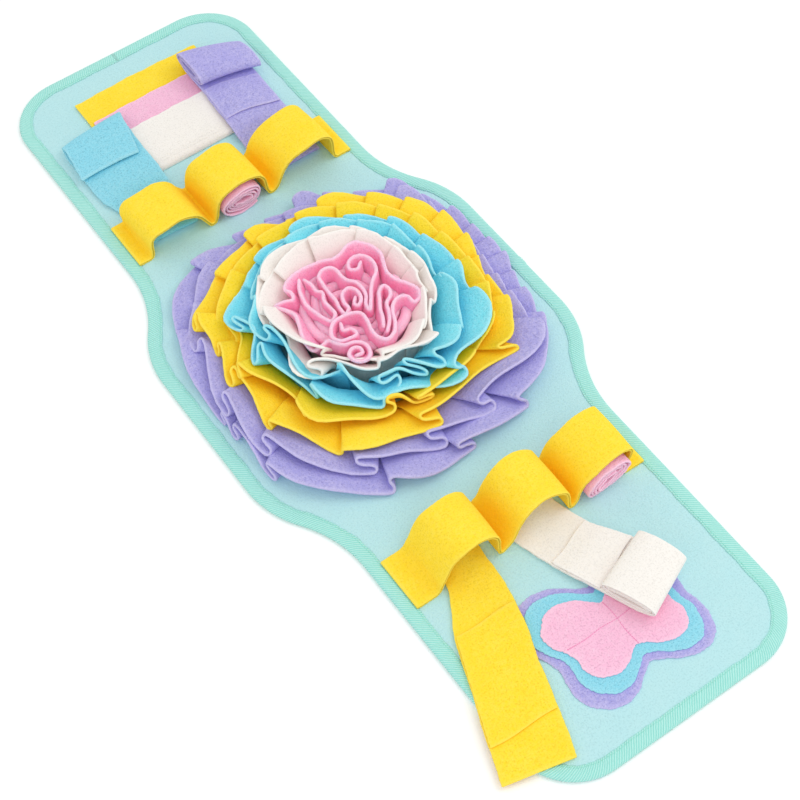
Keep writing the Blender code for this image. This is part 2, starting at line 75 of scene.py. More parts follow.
def smooth_line(points, count, closed=False):
    """Evenly spaced points on a smooth line through the rows of a table."""
    p = np.asarray(points, float)
    n = len(p)
    if closed:
        p = np.vstack([p[-2:], p, p[:3]])
    chord = lengths(p)
    low, high = (chord[2], chord[2 + n]) if closed else (0, chord[-1])
    dense = hermite(chord, p, np.linspace(low, high, 24 * n))
    run = lengths(dense)
    spots = np.linspace(0, run[-1], count + 1)[:-1] if closed else np.linspace(0, run[-1], count)
    return np.stack([np.interp(spots, run, dense[:, k]) for k in range(dense.shape[1])], -1)


def around(table, degrees):
    """Smooth periodic value from rows of (direction in degrees, value)."""
    t = np.asarray(table, float)
    t = np.vstack([t[-2:] - (360, 0), t, t[:2] + (360, 0)])
    return hermite(t[:, 0], t[:, 1], np.mod(degrees, 360))


def smooth_step(x):
    x = np.clip(x, 0, 1)
    return x * x * (3 - 2 * x)


def waves(x, seed, parts):
    """Sum of sines with seeded starts; parts are (size, waves per unit)."""
    rng = np.random.default_rng(seed)
    return sum(size * np.sin(TAU * (rate * x + rng.random())) for size, rate in parts)


# ---- meshes --------------------------------------------------------------------------
# a rim's points in half thicknesses: towards the top face and outwards
ROUND_RIM = ((0.8, 0.5), (0.35, 0.92), (-0.35, 0.92), (-0.8, 0.5))
DOUBLE_RIM = ((0.92, 0.34), (0.62, 0.55), (0.26, 0.32), (0.0, -0.3), (-0.26, 0.32),
              (-0.62, 0.55), (-0.92, 0.34))
FRAY = 0.2
CAP_TURNS = (math.radians(42), math.radians(78))
CAP_NEAR, CAP_FAR = 0.8, 1.5
# how far in the paler fibres and painted highlight of a cut edge reach, and how strong they are
# beside it
PALE_REACH, PALE_BESIDE = 1.6, 0.6
# strength of the painted shade line in the groove between a doubled rim's layers, over three points
SEAM_SHADE_MARKS = (0.3, 1.0, 0.3)


def add_object(name, data):
    made = bpy.data.objects.new(name, data)
    bpy.context.scene.collection.objects.link(made)
    return made


def make_object(name, points, faces, material, uv=None, edge=None, seam=None):
    """A smooth object; uv, edge and seam have a value for each point."""
    mesh = bpy.data.meshes.new(name)
    mesh.from_pydata(np.asarray(points, float) * MM, [], faces)
    mesh.validate()
    if uv is not None:
        corners = [k for face in faces for k in face]
        layer = mesh.uv_layers.new(name="cloth")
        layer.data.foreach_set("uv", (uv[corners] * MM).astype(np.float32).ravel())
    for mark_name, values in (("edge", edge), ("seam", seam)):
        if values is not None:
            mark = mesh.attributes.new(mark_name, "FLOAT", "POINT")
            mark.data.foreach_set("value", np.asarray(values, np.float32))
    mesh.shade_smooth()
    mesh.materials.append(material)
    return add_object(name, mesh)


def outwards(points, faces):
    """The faces, all turned over if the closed mesh's volume is negative."""
    quads = np.array([f for f in faces if len(f) == 4])
    p = np.asarray(points, float)
    p = p - p.mean(0)
    a, b, c, d = (p[quads[:, k]] for k in range(4))
    volume = np.einsum("ij,ij->i", a, np.cross(b, c) + np.cross(c, d)).sum()
    return [f[::-1] for f in faces] if volume < 0 else faces


def round_loop(line, r):
    """The rows across a cloth, repeated for its top, end rim, bottom and start rim."""
    return np.vstack([line, np.repeat(line[-1:], r, 0), line[::-1], np.repeat(line[:1], r, 0)])


def shell(grid, thick, closed=False, rim=ROUND_RIM):
    """Points, faces, cloth coordinates and edge marks of closed thick cloth about a grid
    (along, across, xyz) of its middle surface."""
    g = np.asarray(grid, float)
    rows, wide = g.shape[:2]
    along = (np.roll(g, -1, 0) - np.roll(g, 1, 0)) if closed else np.gradient(g, axis=0)
    normal = unit(np.cross(along, np.gradient(g, axis=1)))
    half = np.broadcast_to(np.asarray(thick, float) / 2, (rows, wide))[..., None]
    top, bottom = g + normal * half, g - normal * half
    rng = np.random.default_rng(rows * 31 + wide)
    fray = rng.normal(0, FRAY, (2, rows, 1)).clip(-2 * FRAY, 2 * FRAY)
    out_end = unit(g[:, -1] - g[:, -2]) * (1 + fray[0] / half[:, -1])
    out_start = unit(g[:, 0] - g[:, 1]) * (1 + fray[1] / half[:, 0])
    end_rim = [g[:, -1] + (normal[:, -1] * a + out_end * b) * half[:, -1] for a, b in rim]
    start_rim = [g[:, 0] + (normal[:, 0] * a + out_start * b) * half[:, 0]
                 for a, b in reversed(rim)]
    loops = np.stack([*top.transpose(1, 0, 2), *end_rim, *bottom[:, ::-1].transpose(1, 0, 2),
                      *start_rim], 1)
    r = len(rim)
    count = loops.shape[1]
    run = lengths(g[:, wide // 2])
    side = lengths(g[rows // 2])
    steps = lengths(np.vstack([loops[rows // 2], loops[rows // 2][:1]]))[:-1]
    # edge mask: paler fibres and a painted highlight along the cut edges, fading inwards
    fade = np.exp(-(np.minimum(side, side[-1] - side) / PALE_REACH) ** 2) * PALE_BESIDE
    edge_line = np.concatenate([fade, np.ones(r), fade[::-1], np.ones(r)])
    if not closed:
        caps = []
        for end, neighbour in ((0, 1), (-1, -2)):
            centre = round_loop(g[end], r)
            push = round_loop(unit(g[end] - g[neighbour]), r)
            size = float(half[end].mean())
            caps.append([centre + (loops[end] - centre) * math.cos(a) + push * size * math.sin(a)
                         for a in CAP_TURNS])
        loops = np.stack([caps[0][1], caps[0][0], *loops, *caps[1]], 0)
        run = np.r_[run[0] - CAP_FAR, run[0] - CAP_NEAR, run, run[-1] + CAP_NEAR,
                    run[-1] + CAP_FAR]
    total = loops.shape[0]
    points = loops.reshape(-1, 3)
    i = np.arange(total if closed else total - 1)[:, None]
    j = np.arange(count)[None, :]
    following = ((i + 1) % total) * count
    faces = np.stack([i * count + j, following + j, following + (j + 1) % count,
                      i * count + (j + 1) % count], -1).reshape(-1, 4).tolist()
    edge = np.tile(edge_line, (total, 1))
    if not closed:
        for o, turn in ((0, False), ((total - 1) * count, True)):
            last = o + 2 * wide + r - 1
            ends = [[o + k, o + k + 1, last - 1 - k, last - k] for k in range(wide - 1)]
            ends.append([o + wide - 1 + k for k in range(r + 2)])
            ends.append([last + k for k in range(r + 1)] + [o])
            faces += [f[::-1] if turn else f for f in ends]
        inwards = (np.minimum(run - run[0], run[-1] - run) - 1.0).clip(0)
        edge = np.maximum(edge, np.exp(-(inwards / PALE_REACH) ** 2)[:, None])
    uv = np.stack(np.broadcast_arrays(run[:, None], steps[None, :]), -1).reshape(-1, 2)
    return points, outwards(points, faces), uv, edge.ravel()


def cloth(name, grid, thick, material, closed=False, rim=ROUND_RIM):
    """A piece of thick cloth; a doubled one has a seam mark for a painted shade line in the groove
    between its layers.
    """
    points, faces, uv, edge = shell(grid, thick, closed, rim)
    seam = None
    if rim is DOUBLE_RIM:
        wide, r = np.shape(grid)[1], len(rim)
        line = np.zeros(2 * (wide + r))
        for middle in (wide + r // 2, 2 * wide + r + r // 2):
            line[middle - 1:middle + 2] = SEAM_SHADE_MARKS
        seam = np.tile(line, len(points) // len(line))
    return make_object(name, points, faces, material, uv, edge, seam)


def joined_cloth(name, runs, material):
    """One mesh of several runs of cloth, each a grid and its thickness."""
    parts = [shell(grid, thick) for grid, thick in runs]
    faces, first = [], 0
    for points, part_faces, _, _ in parts:
        faces += [[first + k for k in f] for f in part_faces]
        first += len(points)
    points, _, uv, edge = zip(*parts)
    return make_object(name, np.vstack(points), faces, material, np.vstack(uv),
                       np.concatenate(edge))


# ---- materials -----------------------------------------------------------------------
def nodes_of(name):
    """A new material, its node tree and its shader."""
    material = bpy.data.materials.new(name)
    material.use_nodes = True
    tree = material.node_tree
    return material, tree, tree.nodes["Principled BSDF"]


def node(tree, kind, inputs=(), **settings):
    """A new node; each input is a socket to link or a value to set."""
    made = tree.nodes.new("ShaderNode" + kind)
    for key, value in settings.items():
        setattr(made, key, value)
    for key, value in dict(inputs).items():
        if isinstance(value, bpy.types.NodeSocket):
            tree.links.new(value, made.inputs[key])
        else:
            made.inputs[key].default_value = value
    return made


def mixed(tree, share, first, second):
    return node(tree, "Mix", {0: share, 6: first, 7: second}, data_type="RGBA").outputs[2]


def times(tree, value, factor):
    return node(tree, "Math", {0: value, 1: factor}, operation="MULTIPLY").outputs[0]


def plus(tree, first, second):
    return node(tree, "Math", {0: first, 1: second}, operation="ADD").outputs[0]


def noise(tree, place, scale, detail=2.0, roughness=0.5):
    return node(tree, "TexNoise", {"Vector": place, "Scale": scale, "Detail": detail,
                                   "Roughness": roughness}).outputs["Fac"]


def ramp(tree, value, low, high, most):
    """From none where the value is low to most where it is high."""
    return node(tree, "MapRange", {"Value": value, "From Min": low, "From Max": high,
                                   "To Min": 0.0, "To Max": most}).outputs[0]


def opaque(colour, share=1.0):
    return (*[c * share for c in colour], 1)


def finish_shader(tree, shader, body, height, strength, depth, constants):
    """Give the shader its colour, its relief (depth in metres) and its constants."""
    tree.links.new(body, shader.inputs["Base Color"])
    relief = node(tree, "Bump", {"Height": height, "Strength": strength, "Distance": depth})
    tree.links.new(relief.outputs["Normal"], shader.inputs["Normal"])
    for key, value in constants.items():
        shader.inputs[key].default_value = value


def fleece(name, colour, pale, deep, crease, grain=1.0, mottle=0.5, glow=0.0):
    """Brushed fleece: a fine pile, a soft mottle, paler fibres and a painted highlight at cut edges,
    a painted shade line in the groove between doubled layers, and a painted shade and bounce-light
    tint deep in the creases."""
    material, tree, shader = nodes_of(name)
    place = node(tree, "TexCoord").outputs["Object"]
    fine = noise(tree, place, 620.0, 2.0, 0.6)
    tufts = noise(tree, place, 330.0, 3.0, 0.65)
    patches = noise(tree, place, 45.0)
    # share of open air round a point: the mask for the painted shade and bounce-light tint
    open_air = node(tree, "AmbientOcclusion", {"Distance": 0.03}, samples=6).outputs["AO"]
    edge, seam = (node(tree, "Attribute", attribute_name=mark).outputs["Fac"]
                  for mark in ("edge", "seam"))
    body = opaque(colour)
    for share, tone in ((ramp(tree, tufts, 0.3, 0.7, mottle), opaque(pale)),
                        (ramp(tree, patches, 0.35, 0.7, 0.35), opaque(deep)),
                        (ramp(tree, fine, 0.5, 0.3, 0.85 * grain), opaque(deep, 0.72)),
                        # painted shade and bounce-light tint where little open air is seen, in
                        # creases and between parts
                        (ramp(tree, open_air, 0.95, 0.25, 0.9), opaque(crease)),
                        # paler fibres and a painted highlight along cut edges
                        (times(tree, edge, 0.55), opaque(pale)),
                        # painted shade line in the groove between doubled layers
                        (times(tree, seam, 0.7), opaque(deep, 0.45))):
        body = mixed(tree, share, body, tone)
    height = plus(tree, times(tree, fine, 0.55), times(tree, tufts, 0.9))
    finish_shader(tree, shader, body, height, 0.8 * grain, 0.0014, {
        "Roughness": 0.95, "Specular IOR Level": 0.12,
        "Sheen Weight": 0.32, "Sheen Roughness": 0.55, "Sheen Tint": opaque(pale),
        "Subsurface Weight": glow, "Subsurface Radius": (1.0, 0.45, 0.5),
        "Subsurface Scale": 0.005})
    return material


def twill(name, colour, pale, deep):
    """Woven tape: fine slanting ribs over its width."""
    material, tree, shader = nodes_of(name)
    along = node(tree, "UVMap", uv_map="cloth").outputs["UV"]
    slanted = node(tree, "Mapping", {"Vector": along, "Rotation": (0, 0, math.radians(38))})
    ribs = node(tree, "TexWave",
                {"Vector": slanted.outputs[0], "Scale": 150.0, "Distortion": 1.2, "Detail": 1.5,
                 "Detail Scale": 2.0}, wave_type="BANDS", bands_direction="X").outputs["Fac"]
    place = node(tree, "TexCoord").outputs["Object"]
    fuzz, patches = noise(tree, place, 700.0), noise(tree, place, 60.0, 3.0)
    body = mixed(tree, times(tree, ribs, 0.95), opaque(deep), opaque(pale))
    body = mixed(tree, 0.25, body, opaque(colour))
    body = mixed(tree, times(tree, patches, 0.3), body, opaque(pale))
    height = plus(tree, ribs, times(tree, fuzz, 0.5))
    finish_shader(tree, shader, body, height, 0.55, 0.0008, {
        "Roughness": 0.8, "Specular IOR Level": 0.25, "Sheen Weight": 0.15})
    return material


def thread(name, colour):
    material, tree, shader = nodes_of(name)
    strands = noise(tree, node(tree, "TexCoord").outputs["Object"], 1600.0)
    body = mixed(tree, strands, opaque(colour, 0.82), opaque(colour))
    finish_shader(tree, shader, body, strands, 0.3, 0.0003, {"Roughness": 0.6})
    return material


# colour, paler fibres and painted edge highlight, deeper patches, painted shade and bounce-light
# tint deep in creases, grain, mottle, light let through
AQUA = fleece("aqua_fleece", (0.47, 0.75, 0.77), (0.57, 0.82, 0.84), (0.45, 0.75, 0.79),
              (0.60, 0.95, 0.99), 0.5, 0.35)
YELLOW = fleece("yellow_fleece", (1.0, 0.73, 0.03), (1.0, 0.80, 0.12), (1.0, 0.68, 0.02),
                (1.0, 0.59, 0.0), 0.62, 0.6)
LILAC = fleece("lilac_fleece", (0.37, 0.36, 0.73), (0.66, 0.61, 0.88), (0.37, 0.34, 0.76),
               (0.40, 0.36, 0.82), 1.0, 0.7)
# the one sky fleece in two tones: the ruffle tone is made brighter against the shade deep in its
# folds, which is painted light; the straps and wings take the other
SKY = fleece("sky_fleece", (0.21, 0.77, 0.86), (0.46, 0.85, 0.91), (0.19, 0.75, 0.88),
             (0.11, 0.70, 0.92), 1.0, 0.6)
PALE_SKY = fleece("pale_sky_fleece", (0.25, 0.67, 0.81), (0.42, 0.78, 0.87), (0.24, 0.66, 0.82),
                  (0.20, 0.70, 0.88))
WHITE = fleece("white_fleece", (0.89, 0.855, 0.80), (0.95, 0.92, 0.88), (0.87, 0.83, 0.77),
               (0.93, 0.84, 0.79), 0.5, 0.4)
PINK = fleece("pink_fleece", (1.0, 0.46, 0.66), (1.0, 0.72, 0.84), (1.0, 0.41, 0.62),
              (1.0, 0.31, 0.54), 1.0, 0.5, 0.4)
SOFT_PINK = fleece("soft_pink_fleece", (0.93, 0.50, 0.68), (0.98, 0.68, 0.81), (0.92, 0.48, 0.68),
                   (1.0, 0.46, 0.64), 0.8)
TAPE = twill("teal_twill", (0.35, 0.79, 0.71), (0.54, 0.88, 0.81), (0.20, 0.67, 0.59))
TEAL_THREAD = thread("teal_thread", (0.35, 0.80, 0.68))
WHITE_THREAD = thread("white_thread", (0.93, 0.91, 0.86))
PINK_THREAD = thread("pink_thread", (0.92, 0.30, 0.56))


# ---- the mat's outline ---------------------------------------------------------------
HALF_LENGTH = 490.0
END_HALF_WIDTH = 142.6
MIDDLE_HALF_WIDTH = 185.0
SHOULDER_INNER_Y = 108.0
SHOULDER_OUTER_Y = 170.0
END_CORNER_RADIUS = 61.0
SHOULDER_HOLLOW_RADIUS = 126.0
SHOULDER_ROUND_RADIUS = 106.0
TAPE_WIDTH = 14.2
OUTLINE_COUNT = 640


def arc(centre, radius, first, last, count):
    """Points and normals of an arc; a negative radius turns it inside out."""
    turn = np.linspace(first, last, count)
    normal = np.stack([np.cos(turn), np.sin(turn)], -1)
    return np.hstack([centre + radius * normal, np.sign(radius) * normal])


def mat_outline(count):
    """Points and outward normals evenly round the mat, from the far middle to the right,
    and the outline's length."""
    slant = math.atan2(MIDDLE_HALF_WIDTH - END_HALF_WIDTH, SHOULDER_OUTER_Y - SHOULDER_INNER_Y)
    corner = np.array([END_HALF_WIDTH - END_CORNER_RADIUS, HALF_LENGTH - END_CORNER_RADIUS])
    hollow_y = SHOULDER_OUTER_Y + SHOULDER_HOLLOW_RADIUS * math.tan(slant / 2)
    round_y = SHOULDER_INNER_Y - SHOULDER_ROUND_RADIUS * math.tan(slant / 2)
    hollow = np.array([END_HALF_WIDTH + SHOULDER_HOLLOW_RADIUS, hollow_y])
    bulge = np.array([MIDDLE_HALF_WIDTH - SHOULDER_ROUND_RADIUS, round_y])
    quarter = np.vstack([
        [[0, HALF_LENGTH, 0, 1], [40, HALF_LENGTH, 0, 1]],
        arc(corner, END_CORNER_RADIUS, math.pi / 2, 0, 40),
        [[END_HALF_WIDTH, 350, 1, 0], [END_HALF_WIDTH, 260, 1, 0]],
        arc(hollow, -SHOULDER_HOLLOW_RADIUS, 0, slant, 24) * (1, 1, -1, -1),
        arc(bulge, SHOULDER_ROUND_RADIUS, slant, 0, 24),
        [[MIDDLE_HALF_WIDTH, 0, 1, 0]],
    ])
    right = np.vstack([quarter, quarter[-2::-1] * (1, -1, 1, -1)])
    whole = np.vstack([right, right[-2:0:-1] * (-1, 1, -1, 1)])
    ring = np.vstack([whole, whole[:1]])
    run = lengths(ring[:, :2])
    spots = np.linspace(0, run[-1], count + 1)[:-1]
    even = np.stack([np.interp(spots, run, ring[:, k]) for k in range(4)], -1)
    even[:, 2:] = unit(even[:, 2:])
    return even, run[-1]


OUTLINE = mat_outline(OUTLINE_COUNT)[0]


def half_width(y):
    """Half the mat's width at a place along it."""
    side = OUTLINE[:OUTLINE_COUNT // 2 + 1]
    order = np.argsort(-side[:, 1])
    return np.interp(-np.abs(y), -side[order, 1], side[order, 0])


def inset_of(x, y):
    """Distance of points inwards from the mat's edge."""
    found = np.full(x.shape, np.inf)
    for start in range(0, OUTLINE_COUNT, 64):
        part = OUTLINE[start:start + 64]
        gap = np.hypot(x[..., None] - part[:, 0], y[..., None] - part[:, 1]).min(-1)
        found = np.minimum(found, gap)
    return found


def done(piece, slot, *nodes):
    """Ride on the mat and stand for CAD nodes; the slot is not used."""
    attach(piece, "root")
    if nodes:
        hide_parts(*nodes)
    return piece


# ---- mat panel -----------------------------------------------------------------------
PANEL_INSET = 1.6
PANEL_UNDER, PANEL_PRESSED, PANEL_FULL, PANEL_ROUNDING = 0.25, 2.75, 0.75, 7.0


def panel_rise(x, y):
    """Height of the padded panel: pressed in beside the tape, then softly full."""
    full = 1 - np.exp(-np.maximum(inset_of(x, y) - TAPE_WIDTH, 0) / PANEL_ROUNDING)
    soft = 0.16 * np.sin(x / 41.0 + 0.8) * np.sin(y / 57.0) + 0.1 * np.sin(x / 23 + y / 31)
    return PANEL_PRESSED + full * (PANEL_FULL + soft)


def crowded(count, even, bent):
    """Shares from -1 to 1, closer together towards both ends."""
    share = np.linspace(-1, 1, count)
    return even * share + bent * np.sin(share * math.pi / 2)


def mat_panel():
    y = (HALF_LENGTH - PANEL_INSET) * crowded(261, 0.55, 0.45)
    share = crowded(81, 0.72, 0.28)
    x = (half_width(y) - PANEL_INSET)[:, None] * share[None, :]
    y = np.repeat(y[:, None], len(share), 1)
    rows, wide = x.shape
    points = np.concatenate([np.stack([x, y, z], -1).reshape(-1, 3)
                             for z in (panel_rise(x, y), np.full_like(x, PANEL_UNDER))])
    under = rows * wide
    i = np.arange(rows - 1)[:, None] * wide + np.arange(wide - 1)[None, :]
    quads = np.stack([i, i + 1, i + wide + 1, i + wide], -1).reshape(-1, 4)
    faces = quads.tolist() + (quads[:, ::-1] + under).tolist()
    left = np.arange(rows) * wide
    right = left + wide - 1
    first = np.arange(wide)
    for rim in (left, right[::-1], first[::-1], first + (rows - 1) * wide):
        faces += [[a, b, under + b, under + a] for a, b in zip(rim[:-1], rim[1:])]
    piece = make_object("mat_panel", points, faces, AQUA)
    done(piece, "mat_aqua", "base_panel")
    return piece


# ---- edge binding --------------------------------------------------------------------
# inset and height of the folded tape's middle line, top inner edge to bottom inner edge
TAPE_SECTION = ((14.2, 3.35), (12.9, 3.45), (11.2, 3.75), (8.0, 3.95), (4.5, 3.95), (1.9, 3.7),
                (0.75, 3.0), (0.45, 2.0), (0.75, 1.1), (1.9, 0.55), (4.5, 0.5), (9.0, 0.5),
                (14.0, 0.5))
TAPE_STEPS = 720
TAPE_THICK, TAPE_FOLD_HEIGHT = 0.8, 2.0
# where the tape's ends meet, how far one laps over the other, and how much it lies higher and
# further out there
JOIN_AT, JOIN_LAP, JOIN_RISE, JOIN_OUT = (178.0, -6.0), 11, 0.75, 0.35
# sway of the tape's inner edges and of the seam, as shares of the line they follow
SWAY_UPPER, SWAY_UNDER, SWAY_SEAM = 1.3, 0.6, 1.1
TAPE_SEAM_DEPTH, TAPE_SEAM_HEIGHT = 12.2, 4.02


def tape_ring():
    """The mat's outline, the run along it, its length and the sway of the tape's edge."""
    ring, length = mat_outline(TAPE_STEPS)
    run = np.arange(TAPE_STEPS) * length / TAPE_STEPS
    return ring, run, length, waves(run, 3, ((0.22, 1 / 47), (0.16, 1 / 23), (0.12, 1 / 9.1)))


def inside(ring, depth, height):
    """A line at a depth inwards from the outline."""
    return np.stack([ring[:, 0] - ring[:, 2] * depth, ring[:, 1] - ring[:, 3] * depth,
                     np.broadcast_to(height, len(ring))], -1)


def edge_tape():
    ring, run, length, sway = tape_ring()
    pucker = waves(run, 5, ((0.10, 1 / 7.3), (0.08, 1 / 4.9)))
    join = np.argmin(np.hypot(ring[:, 0] - JOIN_AT[0], ring[:, 1] - JOIN_AT[1]))
    from_join = (run - run[join] + length / 2) % length - length / 2
    lap = ((from_join > 0) & (from_join < JOIN_LAP)).astype(float)
    rows = []
    for inset, height in smooth_line(TAPE_SECTION, 19):
        inner = min(inset / TAPE_WIDTH, 1.0)
        upper = height > TAPE_FOLD_HEIGHT
        depth = inset + sway * inner * (SWAY_UPPER if upper else SWAY_UNDER)
        depth = depth - JOIN_OUT * lap * (1 - inner)
        rise = pucker * (0.4 + 0.6 * inner) + JOIN_RISE * lap if upper else 0.0
        rows.append(inside(ring, depth, height + rise))
    piece = cloth("edge_tape", np.stack(rows, 1), TAPE_THICK, TAPE, closed=True)
    done(piece, "tape_teal", "edge_binding")
    return piece


# a stitch's sections: share of its length, size, and lift in heights of the stitch
STITCH_SECTIONS = ((0.0, 0.25, -0.5), (0.18, 0.85, 0.0), (0.5, 1.0, 0.25), (0.82, 0.85, 0.0),
                   (1.0, 0.25, -0.5))
STITCH_SIDES = 6


def stitches(name, line, pitch, long, width, material, high=0.35):
    """Short rounded stitches, a little sunk, along a line of points with a fixed pitch."""
    line = np.asarray(line, float)
    run = lengths(line)
    spots = np.arange(pitch / 2, run[-1] - long / 2, pitch)
    here, ahead = (np.stack([np.interp(s, run, line[:, k]) for k in range(3)], -1)
                   for s in (spots - long / 2, spots + long / 2))
    way = unit(ahead - here)
    side = unit(np.cross(way, UP))
    up = np.cross(side, way)
    turn = TAU * np.arange(STITCH_SIDES) / STITCH_SIDES
    rings = []
    for share, size, lift in STITCH_SECTIONS:
        centre = here + (ahead - here) * share + up * lift * high
        rings.append(centre[:, None] + side[:, None] * (np.cos(turn) * size * width / 2)[:, None]
                     + up[:, None] * (np.sin(turn) * size * high)[:, None])
    per = len(rings) * STITCH_SIDES
    base = np.arange(len(spots)) * per
    faces = []
    for first in range(0, per - STITCH_SIDES, STITCH_SIDES):
        for k in range(STITCH_SIDES):
            a, b = base + first + k, base + first + (k + 1) % STITCH_SIDES
            faces += np.stack([a, b, b + STITCH_SIDES, a + STITCH_SIDES], -1).tolist()
    for o in base.tolist():
        faces.append([o + k for k in range(STITCH_SIDES)][::-1])
        faces.append([o + per - STITCH_SIDES + k for k in range(STITCH_SIDES)])
    return make_object(name, np.stack(rings, 1).reshape(-1, 3), faces, material)


def tape_stitching():
    ring, _, _, sway = tape_ring()
    line = inside(ring, TAPE_SEAM_DEPTH + sway * SWAY_SEAM, TAPE_SEAM_HEIGHT)
    piece = stitches("tape_stitching", np.vstack([line, line[:1]]), 3.1, 2.5, 0.75, TEAL_THREAD)
    return done(piece, "tape_teal")


# ---- pocket flaps --------------------------------------------------------------------
# name, CAD node, slot, cloth, left and right x at the sewn edge and at the open edge, y of the
# open edge, height
FLAPS = (
    ("pocket_yellow", "flap_yellow", "fleece_yellow", YELLOW, -75.0, 77.0, -73.5, 76.7, 442.5,
     4.7),
    ("pocket_pink", "flap_pink", "fleece_soft_pink", SOFT_PINK, -71.5, 75.0, -70.0, 74.5, 407.0,
     6.6),
    ("pocket_white", "flap_white", "fleece_white", WHITE, -68.0, 75.5, -67.0, 75.0, 373.0, 8.5),
)
FLAP_SEWN_Y = 310.0
FLAP_THICK = 1.6
# rise towards the open edge and the run over which it comes; the open edge's bow outwards and
# its gape; the softness of the surface; how far the lower flaps' sewn edges are tucked in
FLAP_RISE, FLAP_RISE_RUN = 0.8, 132
FLAP_BOW, FLAP_GAPE, FLAP_SOFT, FLAP_TUCK = 1.3, 0.65, 0.25, 1.8
# y of the two seams and how far each presses the flaps down
FLAP_SEAMS = ((315.0, 0.7), (319.0, 0.6))
FLAP_SEAM_HEIGHT = 8.9
# the white flap's turned edge: y from the sewn line and height from the flap's own
FLAP_TURNED = np.array([(-2.6, -3.9), (-2.5, -2.9), (-1.9, -1.5), (-0.9, -0.4)])


def pocket_flap(name, node_name, slot, material, sewn_left, sewn_right, open_left, open_right,
                open_y, height):
    share = 1 - (1 - np.linspace(0, 1, 64)[:, None]) ** 1.1
    across = np.linspace(0, 1, 44)[None, :]
    seed = int(open_y)
    y = FLAP_SEWN_Y + (open_y - FLAP_SEWN_Y) * share
    left = sewn_left + (open_left - sewn_left) * share
    right = sewn_right + (open_right - sewn_right) * share
    x = left + (right - left) * across
    bow = FLAP_BOW * np.sin(math.pi * across) * share
    ragged = waves(x, seed, ((0.45, 1 / 37), (0.25, 1 / 13))) * share ** 6
    lift = FLAP_RISE * ((y - FLAP_SEWN_Y) / FLAP_RISE_RUN) ** 2
    gape = FLAP_GAPE * share ** 5 * np.maximum(np.sin(math.pi * across + 0.2), 0)
    soft = FLAP_SOFT * np.sin(x / 13 + seed) * share * np.sin(y / 21)
    dip = sum(depth * np.exp(-(y - seam) ** 2) for seam, depth in FLAP_SEAMS)
    z = height + lift + gape + soft - dip
    if name == "pocket_white":
        y = np.repeat(y, across.size, 1)
        y[:4] = FLAP_SEWN_Y + FLAP_TURNED[:, :1]
        z[:4] = height + FLAP_TURNED[:, 1:]
    else:
        y = y + FLAP_TUCK * (1 - share) ** 8
    piece = cloth(name, np.stack([x, y + bow + ragged, z], -1), FLAP_THICK, material)
    done(piece, slot, node_name)
    return piece


def flap_stitching():
    x = np.linspace(-67.0, 74.5, 60)
    for k, (y, _) in enumerate(FLAP_SEAMS):
        line = np.stack([x, y + 0.2 * np.sin(x / 9), np.full(x.size, FLAP_SEAM_HEIGHT)], -1)
        piece = stitches(f"flap_stitching_{k}", line, 2.9, 2.3, 0.7, WHITE_THREAD, 0.3)
        done(piece, "fleece_white")


# ---- loop bands ----------------------------------------------------------------------
# x and height of each band's middle line, from left to right
FAR_BAND = (
    (-127.8, 5.4), (-119, 5.4), (-114, 6.2), (-112, 12), (-111.5, 22), (-110, 30),
    (-106, 34.8), (-99, 36.2), (-85, 37), (-70, 36.4), (-60, 32), (-53, 24),
    (-46.5, 12), (-42.5, 6.4), (-39, 6.4), (-36, 13), (-33.6, 23), (-30, 32),
    (-23, 38.5), (-12, 41.8), (-2, 42.6), (9, 41.8), (18, 38.5), (23.2, 32),
    (25, 22), (26.4, 12), (29.5, 6.4), (33, 6.4), (38, 11), (43.5, 20), (51, 29),
    (62, 37.5), (76, 42.5), (89, 44.3), (99, 43.6), (105, 39), (108, 29), (109, 16),
    (110, 8), (113, 5.4), (121, 5.4), (127.8, 5.4),
)
NEAR_BAND = (
    (-127.8, 5.4), (-119, 5.4), (-109, 5.4), (-104.5, 7.6), (-101, 15), (-96, 26),
    (-91, 37), (-85, 46), (-77, 51), (-67, 52), (-56, 49.6), (-47, 45), (-41, 38),
    (-38, 28), (-37.4, 15), (-37, 8), (-34.5, 6.2), (-31, 9), (-23, 18), (-16, 31),
    (-9, 42), (0, 48.4), (10, 50), (21, 48.2), (31, 43.6), (37, 37), (40, 28),
    (41.4, 15), (43, 7.6), (45.5, 6.2), (49, 9), (54, 19), (60, 29), (69, 37.6),
    (80, 43.6), (92, 47), (103, 47.2), (110.4, 43), (112.6, 34), (110.6, 24),
    (107, 13), (106, 7.6), (109, 5.4), (116, 5.4), (127.8, 5.4),
)
# y of the station, sideways shift and height factor of the arches there
FAR_STATIONS = ((212.0, 0.0, 1.0), (241.0, -1.2, 1.03), (270.0, -2.6, 0.97))
NEAR_STATIONS = ((-270.0, 0.0, 1.0), (-242.0, 1.0, 1.02), (-214.0, 1.6, 0.96))
BAND_FLAT, BAND_THICK, BAND_HALF_WIDTH = 5.4, 3.4, 29
# rows lie close at the cut edges and even from here on
BAND_EDGE, BAND_EVEN = 1.6, 5
# rise at which a band sways and waves fully, and how far its waves run on from edge to middle
FULL_SWAY, FULL_WAVES, WAVE_LEAN = 12, 8, 11


